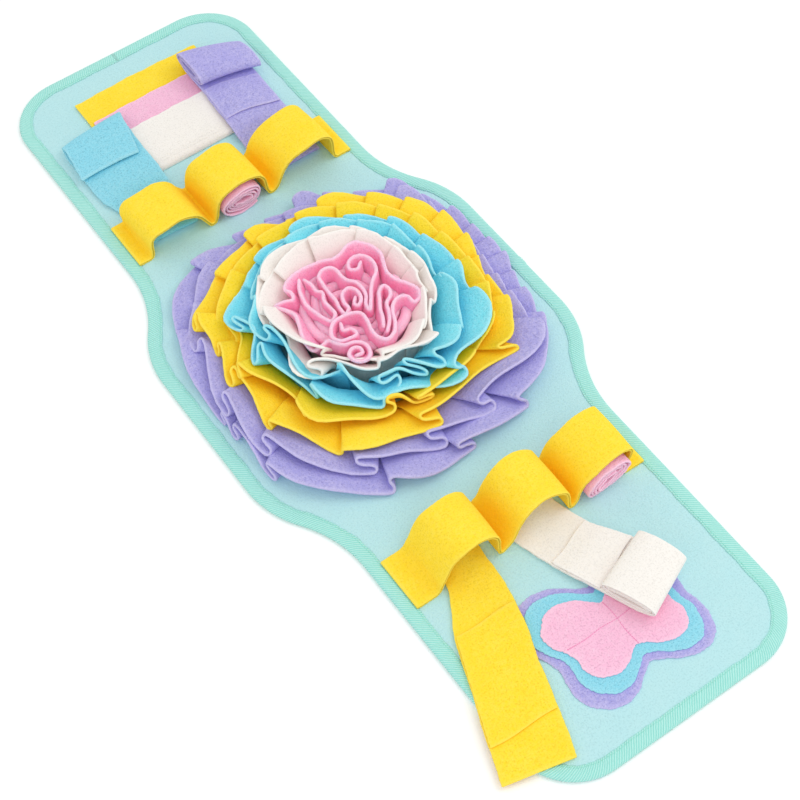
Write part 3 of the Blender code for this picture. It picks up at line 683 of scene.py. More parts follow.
def loop_band(name, node_name, profile, stations, seed):
    line = smooth_line(profile, 230)
    near, far = stations[0][0], stations[-1][0]
    y = np.r_[near, near + BAND_EDGE, np.linspace(near + BAND_EVEN, far - BAND_EVEN, 13),
              far - BAND_EDGE, far]
    table = hermite([s[0] for s in stations], [s[1:] for s in stations], y)
    shift, tall = table[None, :, 0], table[None, :, 1]
    rise = np.maximum(line[:, 1] - BAND_FLAT, 0)[:, None]
    run = lengths(line)[:, None]
    sway = np.minimum(rise / FULL_SWAY, 1)
    lean = (y - y.mean())[None, :] / BAND_HALF_WIDTH * WAVE_LEAN
    soft = waves(run + lean, seed + 1, ((0.35, 1 / 53), (0.22, 1 / 27)))
    x = line[:, :1] + shift * sway
    z = BAND_FLAT + rise * tall + soft * np.minimum(rise / FULL_WAVES, 1)
    y = y[None, :] + waves(run, seed, ((0.7, 1 / 90), (0.5, 1 / 41))) * sway
    piece = cloth(name, np.stack(np.broadcast_arrays(x, y, z), -1), BAND_THICK, YELLOW,
                  rim=DOUBLE_RIM)
    done(piece, "fleece_yellow", node_name)
    return piece


# ---- straps --------------------------------------------------------------------------
# each row is a cross line: left x, y, z, right x, y, z, and the rise of its middle
STRAP_SKY = (
    (-104, 247, 12.6, -54, 245, 12.6, 1.5), (-105, 232, 12.2, -53, 230, 12.2, 1.5),
    (-105.5, 226, 9.4, -52.5, 224, 9.4, 1.2), (-106, 231, 6.4, -51.5, 229, 6.4, 1.0),
    (-107, 248, 5.7, -50.5, 246, 5.7, 2.5), (-108, 272, 5.7, -50, 270, 5.7, 3.0),
    (-112, 288, 6.0, -49.2, 286, 8.6, 2.6), (-116.5, 303, 6.6, -48.6, 301, 12.4, 2.2),
    (-118, 317, 7.0, -48, 314, 13.0, 1.8), (-119, 342, 7.2, -48.4, 340, 12.8, 1.8),
    (-118, 368, 7.2, -46, 372, 12.2, 1.8), (-117, 387, 7.6, -44, 391, 11.8, 1.8),
    (-116, 393.5, 10.2, -42.8, 397.5, 14.4, 1.6), (-116.6, 388, 13.4, -45, 392.5, 17.6, 1.4),
    (-118.2, 365, 13.0, -49, 368, 17.4, 1.8), (-121, 341, 12.2, -55.5, 336, 16.8, 1.8),
)
STRAP_LILAC = (
    (47, 251, 12.6, 99, 251, 12.6, 1.2), (46, 236, 12.2, 100, 236, 12.2, 1.2),
    (45.5, 230, 9.4, 101, 230, 9.4, 1.0), (45, 235, 6.4, 102, 235, 6.4, 0.8),
    (44, 252, 5.7, 102.5, 252, 5.7, 0.6), (42.6, 276, 5.8, 103.5, 276, 5.8, 0.6),
    (42, 290, 8.8, 105, 289, 6.0, 1.2), (42, 303, 12.2, 106.5, 301, 6.4, 3.0),
    (43, 318, 13.0, 107.5, 314, 6.6, 3.0), (44.5, 345, 12.6, 108, 340, 6.8, 2.8),
    (46, 368, 12.2, 108.3, 361, 7.4, 2.6),
)
STRAP_YELLOW = (
    (-92, -226, 5.8, -47.5, -226, 5.8, 3.0), (-92, -248, 5.8, -48, -245, 5.8, 3.0),
    (-95, -270, 5.8, -50, -266, 5.8, 2.0), (-104, -287, 5.8, -51.4, -285, 5.8, 1.0),
    (-118, -310, 5.8, -56, -313, 6.2, 0.4), (-126, -331, 6.0, -62, -339, 7.6, 0.2),
    (-141, -371, 6.0, -74.5, -371, 8.6, -0.4), (-150, -395, 6.0, -81.5, -397, 8.4, -0.4),
    (-157, -414, 5.9, -89, -420, 7.2, -0.1), (-163, -431, 5.6, -96, -442, 6.4, 0.1),
    (-168, -446, 5.2, -103, -462, 6.2, 0.3),
)
STRAP_WHITE = (
    (-24, -227, 5.7, 30, -225, 5.7, 2.0), (-22, -248, 5.7, 33, -242, 5.7, 2.0),
    (-19, -266, 5.8, 35, -255, 5.8, 1.6), (-13, -290, 6.0, 40, -275, 6.0, 0.6),
    (-7, -308, 7.2, 46, -293, 6.6, 0.4), (-1, -326, 9.6, 55, -309, 8.2, 0.6),
    (9, -352, 10.6, 67, -330, 9.8, 0.6),
)
# name, CAD node, slot, cloth, cross lines, rows along it, seed and size of its unevenness,
# thickness
STRAPS = (
    ("sky_strap", "strap_sky", "fleece_sky", PALE_SKY, STRAP_SKY, 130, 21, 0.35, 3.0),
    ("lilac_strap", "strap_lilac", "fleece_lilac", LILAC, STRAP_LILAC, 90, 22, 0.3, 2.9),
    ("yellow_strap", "strap_yellow", "fleece_yellow", YELLOW, STRAP_YELLOW, 110, 23, 0.3, 3.0),
    ("white_strap", "strap_white", "fleece_white", WHITE, STRAP_WHITE, 60, 24, 0.3, 2.9),
)
# axis, reach, half height, pitch, turns, rows, share by which the right end is smaller, spill
ROLLED_ENDS = {
    "lilac_strap": ((0.0, 1.0, 0.0), 28.0, 11.6, 4.8, 1.9, 84, 0.17, 7.0),
    "white_strap": ((0.36, -0.93, 0.0), 28.5, 9.6, 4.3, 1.75, 80, 0.08, 3.0),
}
# name, CAD node, slot, cloth, cross lines of its strap, first and last of them that it covers,
# share of the first step left bare, and how far its sides lie inside the strap's
STRAP_POCKETS = (
    ("lilac_pocket", "strap_lilac_pocket", "fleece_lilac", LILAC, STRAP_LILAC, 8, 10, 0.02, 0.6),
    ("yellow_pocket", "strap_yellow_pocket", "fleece_yellow", YELLOW, STRAP_YELLOW, 4, 8, 0.2, 0.8),
    ("white_pocket", "strap_white_pocket", "fleece_white", WHITE, STRAP_WHITE, 3, 6, 0.9, 0.8),
)
# height above the strap's middle, thickness, and how far its ends wave along the strap
STRAP_POCKET_RISE, STRAP_POCKET_THICK, STRAP_POCKET_WAVE = 2.7, 1.5, 1.6
ACROSS = np.concatenate([[0, 0.03], np.linspace(0.1, 0.9, 11), [0.97, 1]])


def cross_lines(table, count):
    """Grid over a strap from its table of cross lines."""
    t = smooth_line(table, count)
    left, right, crown = t[:, None, 0:3], t[:, None, 3:6], t[:, None, 6:7]
    a = ACROSS[None, :, None]
    grid = left + (right - left) * a
    grid[..., 2:] += crown * 4 * a * (1 - a)
    return grid


def wound(start, axis, reach, half_height, pitch, turns, count, shrink, spill):
    """Rows of a flattened spiral that goes on from a strap's last cross line; its right
    end is smaller by the share shrink and spills out sideways."""
    axis = unit(np.array(axis))
    size = (1 - shrink * ACROSS)[None, :, None]
    turn = np.linspace(0, turns, count + 1)[1:, None, None]
    angle = TAU * turn - math.pi / 2
    flat = np.maximum(reach * size - pitch * 1.15 * turn, pitch * 0.7)
    tall = np.maximum(half_height * size - pitch * turn, 0.9)
    side = unit(start[-1] - start[0]) * ACROSS[None, :, None]
    centre = start[None] + axis * reach * size + UP * half_height * size
    return (centre + axis * flat * np.cos(angle) + side * spill * smooth_step(turn * 1.6)
            + UP * tall * np.sin(angle))


def uneven(grid, seed, size):
    """Slight wander of a strap's surface and edges."""
    run = lengths(grid[:, grid.shape[1] // 2])[:, None]
    side = lengths(grid[len(grid) // 2])[None, :]
    lift = waves(run + side * 0.6, seed, ((size, 1 / 61), (size * 0.6, 1 / 27)))
    wander = waves(run, seed + 9, ((size * 1.2, 1 / 70), (size * 0.5, 1 / 19)))
    moved = grid + unit(np.gradient(grid, axis=1)) * wander[..., None]
    moved[..., 2] += lift
    return moved


def strap(name, node_name, slot, material, table, count, seed, size, thick):
    grid = uneven(cross_lines(table, count), seed, size)
    if name in ROLLED_ENDS:
        grid = np.vstack([grid, wound(grid[-1], *ROLLED_ENDS[name])])
    piece = cloth(name, grid, thick, material, rim=DOUBLE_RIM)
    done(piece, slot, node_name)
    return piece


def strap_pocket(name, node_name, slot, material, table, first, last, bare, inside_by):
    """Second layer sewn on a strap, from one cross line of its table to another."""
    t = np.asarray(table, float)[first:last + 1]
    t[0] = t[0] + (t[1] - t[0]) * bare
    grid = cross_lines(t, 40)
    ahead = unit(grid[-1:, :1] - grid[:1, :1])
    ends = np.abs(np.linspace(-1, 1, len(grid)))[:, None, None] ** 4
    wave = np.sin(TAU * ACROSS * 0.8 + 0.4)[None, :, None]
    grid = grid + ahead * (STRAP_POCKET_WAVE * ends * wave)
    inward = unit(grid[:, -1:] - grid[:, :1]) * inside_by
    grid = grid + inward * (1 - 2 * ACROSS)[None, :, None]
    grid[..., 2] += STRAP_POCKET_RISE
    piece = cloth(name, grid, STRAP_POCKET_THICK, material)
    done(piece, slot, node_name)
    return piece


# ---- loose rolls in the loops --------------------------------------------------------
# name, CAD node, middle x and z, half its width and height, tilt, near and far y, turns, seed
ROLLS = (
    ("far_roll", "roll_pink_far", -4.6, 20.4, 26.0, 17.0, 0.05, 209.5, 267.0, 4.3, 31),
    ("near_roll", "roll_pink_near", 83.5, 24.2, 28.0, 15.2, 0.42, -275.0, -218.0, 3.7, 32),
)
# room for a layer, the cloth's own thickness, and the pitch sideways and upwards
ROLL_LAYER, ROLL_THICK, ROLL_PITCH, ROLL_PITCH_UP = 2.6, 2.3, 3.7, 3.1


def strip_roll(name, node_name, centre_x, centre_z, half_wide, half_tall, tilt, near_y, far_y,
               turns, seed):
    turn = np.linspace(0, turns, int(44 * turns))
    angle = -TAU * turn - math.pi * 0.3
    wide = half_wide - ROLL_LAYER / 2 - ROLL_PITCH * turn
    wide = wide + waves(turn, seed, ((0.5, 1.9), (0.4, 0.7)))
    tall = half_tall - ROLL_LAYER / 2 - ROLL_PITCH_UP * turn
    tall = np.maximum(tall + waves(turn, seed + 1, ((0.3, 1.3), (0.25, 2.6))), ROLL_LAYER * 0.75)
    across, up = wide * np.cos(angle), tall * np.sin(angle)
    x = centre_x + across * math.cos(tilt) - up * math.sin(tilt)
    z = centre_z + across * math.sin(tilt) + up * math.cos(tilt)
    sag = waves(turn, seed + 2, ((1.0, 0.83), (0.6, 2.1), (0.3, 5.3)))
    share = np.concatenate([[0, 0.03], np.linspace(0.12, 0.88, 7), [0.97, 1]])
    y = near_y + sag[:, None] + (far_y - near_y) * share[None, :]
    rows = np.stack(np.broadcast_arrays(x[:, None], y, z[:, None]), -1)
    piece = cloth(name, rows, ROLL_THICK, SOFT_PINK)
    done(piece, "fleece_soft_pink", node_name)
    return piece


# ---- butterfly patch -----------------------------------------------------------------
BUTTERFLY = np.array([4.0, -385.0])
# direction in degrees and reach of the pink wings' outline from the patch's middle
WING = (
    (90, 22), (76, 27), (64, 41), (53, 50), (43, 56), (33, 62), (22, 65), (11, 60),
    (0, 53), (-11, 53), (-22, 59), (-33, 62), (-44, 60), (-55, 52), (-67, 40), (-79, 30),
    (-90, 27), (-101, 30), (-114, 40), (-126, 49), (-138, 54), (-150, 57), (-161, 55),
    (-171, 52), (180, 54), (169, 62), (158, 68), (147, 66), (136, 62), (125, 52),
    (114, 40), (102, 27),
)
# direction in degrees, and how far the sky-blue and the lilac layer reach beyond the pink one
WING_GROWTH = np.array((
    (0, 8, 17), (24, 11, 18), (48, 14, 20), (62, 14, 21), (84, 12, 20), (96, 13, 21), (120, 17, 27),
    (132, 18, 27), (150, 13, 20), (170, 9, 16), (182, 8, 17), (200, 10, 22), (216, 14, 28),
    (230, 17, 30), (242, 18, 30), (254, 15, 24), (270, 11, 19), (286, 13, 23), (300, 17, 27),
    (312, 17, 27), (324, 12, 22), (338, 10, 18),
))
# name, CAD node, slot, cloth, column of growth, height
WING_LAYERS = (
    ("wings_lilac", "butterfly_lilac", "fleece_lilac", LILAC, 2, 4.4),
    ("wings_sky", "butterfly_sky", "fleece_sky", PALE_SKY, 1, 5.7),
    ("wings_pink", "butterfly_pink", "fleece_soft_pink", SOFT_PINK, 0, 7.0),
)
WING_THICK, WING_DOME = 1.1, 0.25
WING_RINGS = (1, 0.985, 0.95, 0.88, 0.75, 0.6, 0.45, 0.3, 0.15, 0.04, 0.004)
WING_SEAMS = (
    ((5.0, -363.0), (5.9, -378.0), (4.4, -396.0), (5.4, -413.5)),
    ((-49.0, -381.4), (-30.0, -382.9), (-12.0, -381.9), (5.2, -383.2), (33.0, -381.0)),
)
WING_SEAM_HEIGHT = 7.82


def wing_layer(name, node_name, slot, material, column, height):
    degrees, reach = np.array(WING, float).T
    if column:
        reach = reach + around(WING_GROWTH[:, (0, column)], degrees)
    turn = np.radians(degrees)
    line = BUTTERFLY + reach[:, None] * np.stack([np.cos(turn), np.sin(turn)], -1)
    line = smooth_line(line, 300, closed=True)
    ragged = waves(lengths(line), column + 3, ((0.35, 1 / 17), (0.25, 1 / 5.3)))
    line = line + unit(line - BUTTERFLY) * ragged[:, None]
    grid = np.stack([np.column_stack([BUTTERFLY + (line - BUTTERFLY) * share,
                                      np.full(len(line), height + WING_DOME * (1 - share ** 4))])
                     for share in WING_RINGS], 1)
    piece = cloth(name, grid, WING_THICK, material, closed=True)
    done(piece, slot, node_name)
    return piece


def wing_stitching():
    for k, line in enumerate(WING_SEAMS):
        path = np.column_stack([smooth_line(line, 30), np.full(30, WING_SEAM_HEIGHT)])
        piece = stitches(f"wing_stitching_{k}", path, 2.4, 2.25, 0.85, PINK_THREAD, 0.3)
        done(piece, "fleece_pink")


# ---- flower: gathered strips ---------------------------------------------------------
FLOWER = np.array([0.0, 12.0])
LONGER_ALONG = 1.035
# rings from the outside in: slot, cloth, and root, middle and edge as radius and height
RINGS = {
    "lilac_outer": ("fleece_lilac", LILAC, (112, 4.9), (138, 8.0), (168, 8.4)),
    "lilac_inner": ("fleece_lilac", LILAC, (104, 4.9), (123, 13.6), (158, 15.4)),
    "yellow_outer": ("fleece_yellow", YELLOW, (95, 4.9), (112, 19.0), (144, 24.0)),
    "yellow_inner": ("fleece_yellow", YELLOW, (87, 4.9), (101, 24.6), (130, 32.4)),
    "sky_outer": ("fleece_sky", SKY, (79, 4.9), (91, 29.0), (117, 39.4)),
    "sky_inner": ("fleece_sky", SKY, (71, 4.9), (81, 33.0), (105, 46.4)),
    "white_outer": ("fleece_white", WHITE, (63, 4.9), (71, 35.6), (94, 50.6)),
    "white_inner": ("fleece_white", WHITE, (55, 4.9), (63, 37.5), (86, 53.8)),
}
# direction in degrees, and how far a ring's edge there reaches beyond the table above
REACH = {
    "lilac_outer": (
        (0, 0), (10, 0), (20, 3), (32, 4), (42, 10), (54, -2), (65, -2), (74, 2), (82, -10),
        (92, -8), (104, -4), (115, 6), (128, 14), (140, 10), (152, 2), (168, -4), (187, -4),
        (202, 6), (217, 20), (230, 16), (243, 12), (256, 12), (268, 2), (280, 6), (295, 12),
        (310, 18), (326, 14), (345, -2)),
    "lilac_inner": (
        (0, -12), (12, -11), (24, 0), (36, 10), (50, -2), (65, -6), (80, -8), (95, -6), (110, 2),
        (125, 5), (137, 2), (152, 2), (166, -6), (184, -4), (204, 6), (222, 8), (240, 8),
        (254, -2), (266, -4), (276, -6), (286, -2), (296, -6), (306, 6), (322, 18), (336, -4),
        (348, -10)),
    "yellow_outer": (
        (0, -4), (14, 4), (26, 9), (38, 9), (50, 6), (66, 6), (74, -4), (84, -5), (98, 1),
        (110, -2), (125, 1), (137, 3), (145, 8), (154, -4), (167, -8), (176, -6), (190, -10),
        (202, 3), (214, -1), (228, 4), (243, 0), (258, -8), (268, -6), (281, -12), (294, -13),
        (306, 0), (312, 13), (322, 8), (332, 3), (340, -5)),
    "yellow_inner": (
        (0, 0), (60, 1), (120, 0), (148, 0), (156, -12), (168, -10), (180, -4), (192, -18),
        (206, -18), (216, 2), (232, -4), (250, -8), (262, -14), (275, -10), (290, -12), (305, -8),
        (320, 2), (340, 0)),
    "sky_outer": (
        (0, -6), (20, -6), (40, -2), (55, -1), (70, -1), (84, 2), (92, -6), (110, -3), (120, -8),
        (130, -8), (141, 2), (152, 5), (160, -12), (170, -12), (180, -4), (194, -10), (206, -16),
        (214, -14), (222, -3), (236, -6), (250, -9), (266, -10), (278, 3), (287, 10), (294, 2),
        (302, 12), (318, 17), (329, 14), (337, -5), (349, -5)),
    "sky_inner": (
        (0, -10), (10, -11), (40, -3), (70, -1), (106, 0), (123, -3), (142, -5), (157, -6),
        (166, -14), (175, -19), (185, -17), (196, -8), (206, -5), (213, -6), (219, -18),
        (226, -19), (233, -4), (241, 4), (250, 2), (262, -8), (272, -10), (280, 4), (287, -2),
        (294, 5), (304, 1), (323, -5), (338, -2), (350, -16)),
    "white_outer": (
        (0, -11), (10, -11), (24, -12), (38, -8), (52, -2), (70, -1), (90, -3), (101, 2), (116, 4),
        (130, 2), (145, 0), (156, -3), (166, -12), (180, -14), (192, -6), (202, -3), (212, -20),
        (224, -19), (238, -18), (250, -19), (264, -18), (275, -16), (287, -9), (295, -3),
        (304, -13), (320, -17), (334, -17), (348, -15)),
    "white_inner": (
        (0, -14), (45, -4), (90, 0), (135, 2), (160, 2), (171, -3), (180, -8), (191, -9),
        (202, -10), (208, -14), (214, -19), (222, -18), (230, -18), (243, -17), (256, -17),
        (270, -15), (290, -7), (304, -13), (320, -14), (345, -14)),
}
# direction in degrees, and how far some rings' edges there hang below their height
HANGING = {
    "yellow_inner": (
        (0, 0), (90, 0), (128, 0), (138, 0), (148, 6), (164, 6), (178, 0), (190, 0), (270, 0)),
    "white_outer": (
        (0, 0), (90, 0), (148, 0), (158, 0), (170, 5), (188, 4), (200, 0), (213, 7), (235, 5),
        (250, 1), (256, 1), (263, 5), (280, 4), (292, 0), (304, 0)),
    "white_inner": (
        (0, 0), (100, 0), (190, 0), (202, 0), (214, 4), (252, 4), (262, 6), (280, 4), (294, 0),
        (306, 0)),
}
# folds of each ring: direction, length of the layer that runs back, radius of its turns, how far
# they turn, -1 where the later panel lies on top and 1 where the earlier one does, and how far
# the edge stands out where the earlier panel ends and where the later one starts
FOLDS = {
    "lilac_outer": (
        (2, 7, 1.5, 170, 1, 3, 0), (10, 6, 1.4, 170, 1, 2, 0), (20, 8, 1.5, 165, 1, 4, -1),
        (31, 7, 1.4, 168, 1, 3, 0), (42, 13, 1.6, 160, 1, 7, -6), (54, 6, 1.4, 168, 1, 3, -1),
        (65, 5, 1.4, 165, 1, 2, 0), (75, 10, 1.6, 160, 1, 6, -6), (89, 4, 1.4, 150, 1, 2, -2),
        (102, 6, 1.5, 160, 1, 6, -4), (118, 8, 1.5, 160, 1, 3, -2), (146, 3, 2.6, 80, -1, 0, 0),
        (184, 7, 1.7, 160, -1, 2, -3), (191, 8, 2.4, 165, -1, 4, -4),
        (209, 10, 2.8, 160, -1, 2, -3), (245, 5, 3.2, 120, -1, 7, -5),
        (271, 12, 3.2, 170, -1, 4, -4), (295, 5, 3.2, 130, -1, 6, -6),
        (327, 9, 1.8, 155, 1, 4, -6), (338, 7, 1.5, 160, 1, 3, -1), (346, 6, 1.4, 168, 1, 2, -1),
        (354, 7, 1.5, 168, 1, 3, 0)),
    "lilac_inner": (
        (5, 8, 1.5, 168, 1, 3, 0), (15, 9, 1.5, 168, 1, 3, 0), (26, 7, 1.4, 168, 1, 3, 0),
        (37, 13, 1.6, 160, 1, 6, -6), (51, 7, 1.4, 168, 1, 2, 0), (66, 6, 1.4, 165, 1, 2, 0),
        (82, 5, 1.4, 160, 1, 1, 0), (99, 5, 1.4, 160, 1, 2, -1), (119, 8, 1.5, 165, -1, 0, 4),
        (136, 4, 2.4, 90, -1, 1, 0), (154, 9, 1.6, 165, -1, 4, -12),
        (182, 16, 2.6, 168, -1, 5, -8), (204, 9, 3.0, 168, -1, 6, -9),
        (238, 13, 3.3, 170, -1, 5, -8), (264, 10, 3.5, 168, -1, 6, -10),
        (287, 8, 3.6, 165, -1, 7, -11), (323, 9, 1.9, 155, 1, 6, -10),
        (336, 8, 1.5, 165, 1, 3, -1), (345, 7, 1.4, 168, 1, 2, 0), (355, 7, 1.4, 168, 1, 2, 0)),
    "yellow_outer": (
        (5, 9, 1.5, 168, 1, 4, 0), (18, 12, 1.6, 165, 1, 4, -1), (33, 9, 1.5, 168, 1, 3, 0),
        (48, 8, 1.5, 168, 1, 2, 0), (67, 12, 1.7, 160, 1, 5, -5), (84, 4, 1.4, 150, 1, 1, 0),
        (101, 8, 1.6, 160, 1, 4, -3), (124, 4, 2.2, 100, 1, 1, 0), (146, 11, 2.3, 160, -1, 5, -4),
        (160, 8, 2.2, 150, -1, 3, -3), (175, 10, 2.6, 165, -1, 6, -7),
        (202, 5, 3.4, 120, -1, 3, 1), (230, 3, 3.4, 85, -1, 2, 3), (265, 12, 3.2, 170, -1, 7, -6),
        (310, 9, 2.8, 150, -1, 5, -7), (331, 9, 1.5, 165, 1, 3, -1), (343, 8, 1.5, 168, 1, 3, 0),
        (354, 7, 1.4, 168, 1, 2, 0)),
    "yellow_inner": (
        (11, 8, 1.5, 168, 1, 3, 0), (26, 9, 1.5, 168, 1, 3, 0), (42, 8, 1.5, 168, 1, 2, 0),
        (60, 9, 1.5, 165, 1, 2, 0), (80, 5, 1.5, 150, 1, 1, 0), (101, 6, 1.5, 160, 1, 2, -1),
        (124, 6, 1.8, 140, -1, 1, 0), (153, 16, 2.8, 168, -1, 6, -10),
        (176, 9, 2.2, 160, -1, 4, 0), (210, 9, 3.8, 165, -1, -5, 7),
        (252, 8, 3.8, 130, -1, -2, -9), (268, 11, 3.4, 168, -1, 2, 6),
        (298, 11, 3.0, 165, 1, 5, -5), (321, 9, 1.8, 155, 1, 3, -2), (337, 8, 1.5, 165, 1, 2, 0),
        (353, 8, 1.5, 168, 1, 2, 0)),
    "sky_outer": (
        (14, 9, 1.6, 165, 1, 3, -2), (34, 10, 1.6, 162, 1, 2, -4), (58, 6, 1.6, 155, 1, 1, 0),
        (86, 9, 1.6, 160, 1, 4, -4), (112, 7, 1.6, 160, 1, 3, -3), (131, 4, 2.4, 90, 1, 0, 0),
        (154, 10, 2.6, 160, -1, 5, -7), (175, 11, 2.8, 165, -1, 4, -6),
        (213, 7, 3.6, 150, -1, -2, 2), (249, 3, 3.4, 85, -1, 2, 1), (289, 8, 3.4, 140, -1, 7, -5),
        (331, 8, 3.0, 155, 1, 2, -7), (350, 9, 1.8, 158, 1, 3, -2)),
    "sky_inner": (
        (8, 10, 1.7, 160, 1, 3, -3), (29, 9, 1.6, 165, 1, 2, 0), (50, 7, 1.6, 160, 1, 1, 0),
        (72, 5, 1.6, 150, 1, 1, 0), (95, 5, 1.6, 150, 1, 2, -1), (118, 5, 1.6, 150, 1, 1, 0),
        (140, 4, 2.4, 95, -1, 1, 0), (168, 9, 3.4, 158, -1, 5, -3), (224, 6, 4.2, 115, -1, -7, -2),
        (255, 15, 4.0, 172, -1, 2, -11), (272, 11, 3.2, 165, -1, 3, -6),
        (286, 6, 3.2, 120, -1, 6, -5), (309, 3, 3.0, 80, 1, 1, 1), (344, 7, 2.4, 140, 1, 3, -8)),
    "white_outer": (
        (8, 7, 1.6, 155, 1, 2, -1), (30, 8, 1.6, 160, 1, 3, -1), (54, 7, 1.6, 158, 1, 2, -1),
        (84, 4, 1.6, 140, 1, 1, 0), (127, 4, 1.6, 130, 1, 1, 0), (163, 6, 1.9, 150, -1, 2, -2),
        (209, 8, 3.2, 160, -1, 11, -1), (253, 3, 3.0, 70, -1, 1, 1), (293, 10, 2.0, 165, 1, 7, -8),
        (324, 4, 2.4, 95, 1, 1, 0), (351, 7, 2.0, 150, 1, 2, -4)),
    "white_inner": (
        (20, 6, 1.6, 155, 1, 1, 0), (50, 5, 1.6, 145, 1, 1, 0), (85, 4, 1.6, 130, 1, 1, 0),
        (120, 4, 1.6, 130, 1, 1, 0), (152, 4, 1.8, 130, -1, 1, 0), (208, 4, 3.0, 110, 1, -3, -5),
        (258, 3, 2.8, 70, -1, 1, 0), (300, 6, 2.0, 140, 1, 2, -3), (334, 4, 2.2, 110, 1, 1, 0),
        (356, 5, 1.8, 140, 1, 1, -1)),
}
TURN_STEPS, BACK_STEPS, PANEL_STEPS = 7, 4, 12
ROWS_OUT = np.array([0, 0.1, 0.2, 0.3, 0.4, 0.49, 0.57, 0.65, 0.72, 0.79, 0.85, 0.9, 0.94,
                     0.975, 1.0])
RUFFLE_THICK = 1.9 + 1.1 * ROWS_OUT ** 6
RUFFLE_LOWEST = 4.9
TIGHT_RADIUS, TIGHT_TURN = 1.1, math.radians(174)
LEAST_BACK = 0.3
# most that a fold holds the panels beside it up or down, as a share of the panel
HELD_MOST = 0.45
PANEL_DOME, HIGHEST_DOME = 0.05, 3.0
CORNER_SOFT = 2.0
SMOOTHINGS = 3
# the side on which the strips stand up and their folds open
STANDING_SIDE = math.radians(238.0)
# most height of the folds: at the root, added at the edge, and added there on the standing side
FOLD_HEIGHT, FOLD_HEIGHT_EDGE, FOLD_HEIGHT_STANDING = 3.4, 8.5, 6.5


def softened(values, run, size):
    """Closed rows of values smoothed along their run; size is the spread in mm."""
    total = run[-1]
    even = np.linspace(0, total, len(run), endpoint=False)
    level = np.interp(even, run, np.r_[values, values[:1]][:len(run)])
    wave = np.fft.rfftfreq(len(even), total / len(even))
    smooth = np.fft.irfft(np.fft.rfft(level) * np.exp(-2 * (math.pi * wave * size) ** 2), len(even))
    return np.interp(run, np.r_[even, total], np.r_[smooth, smooth[:1]])


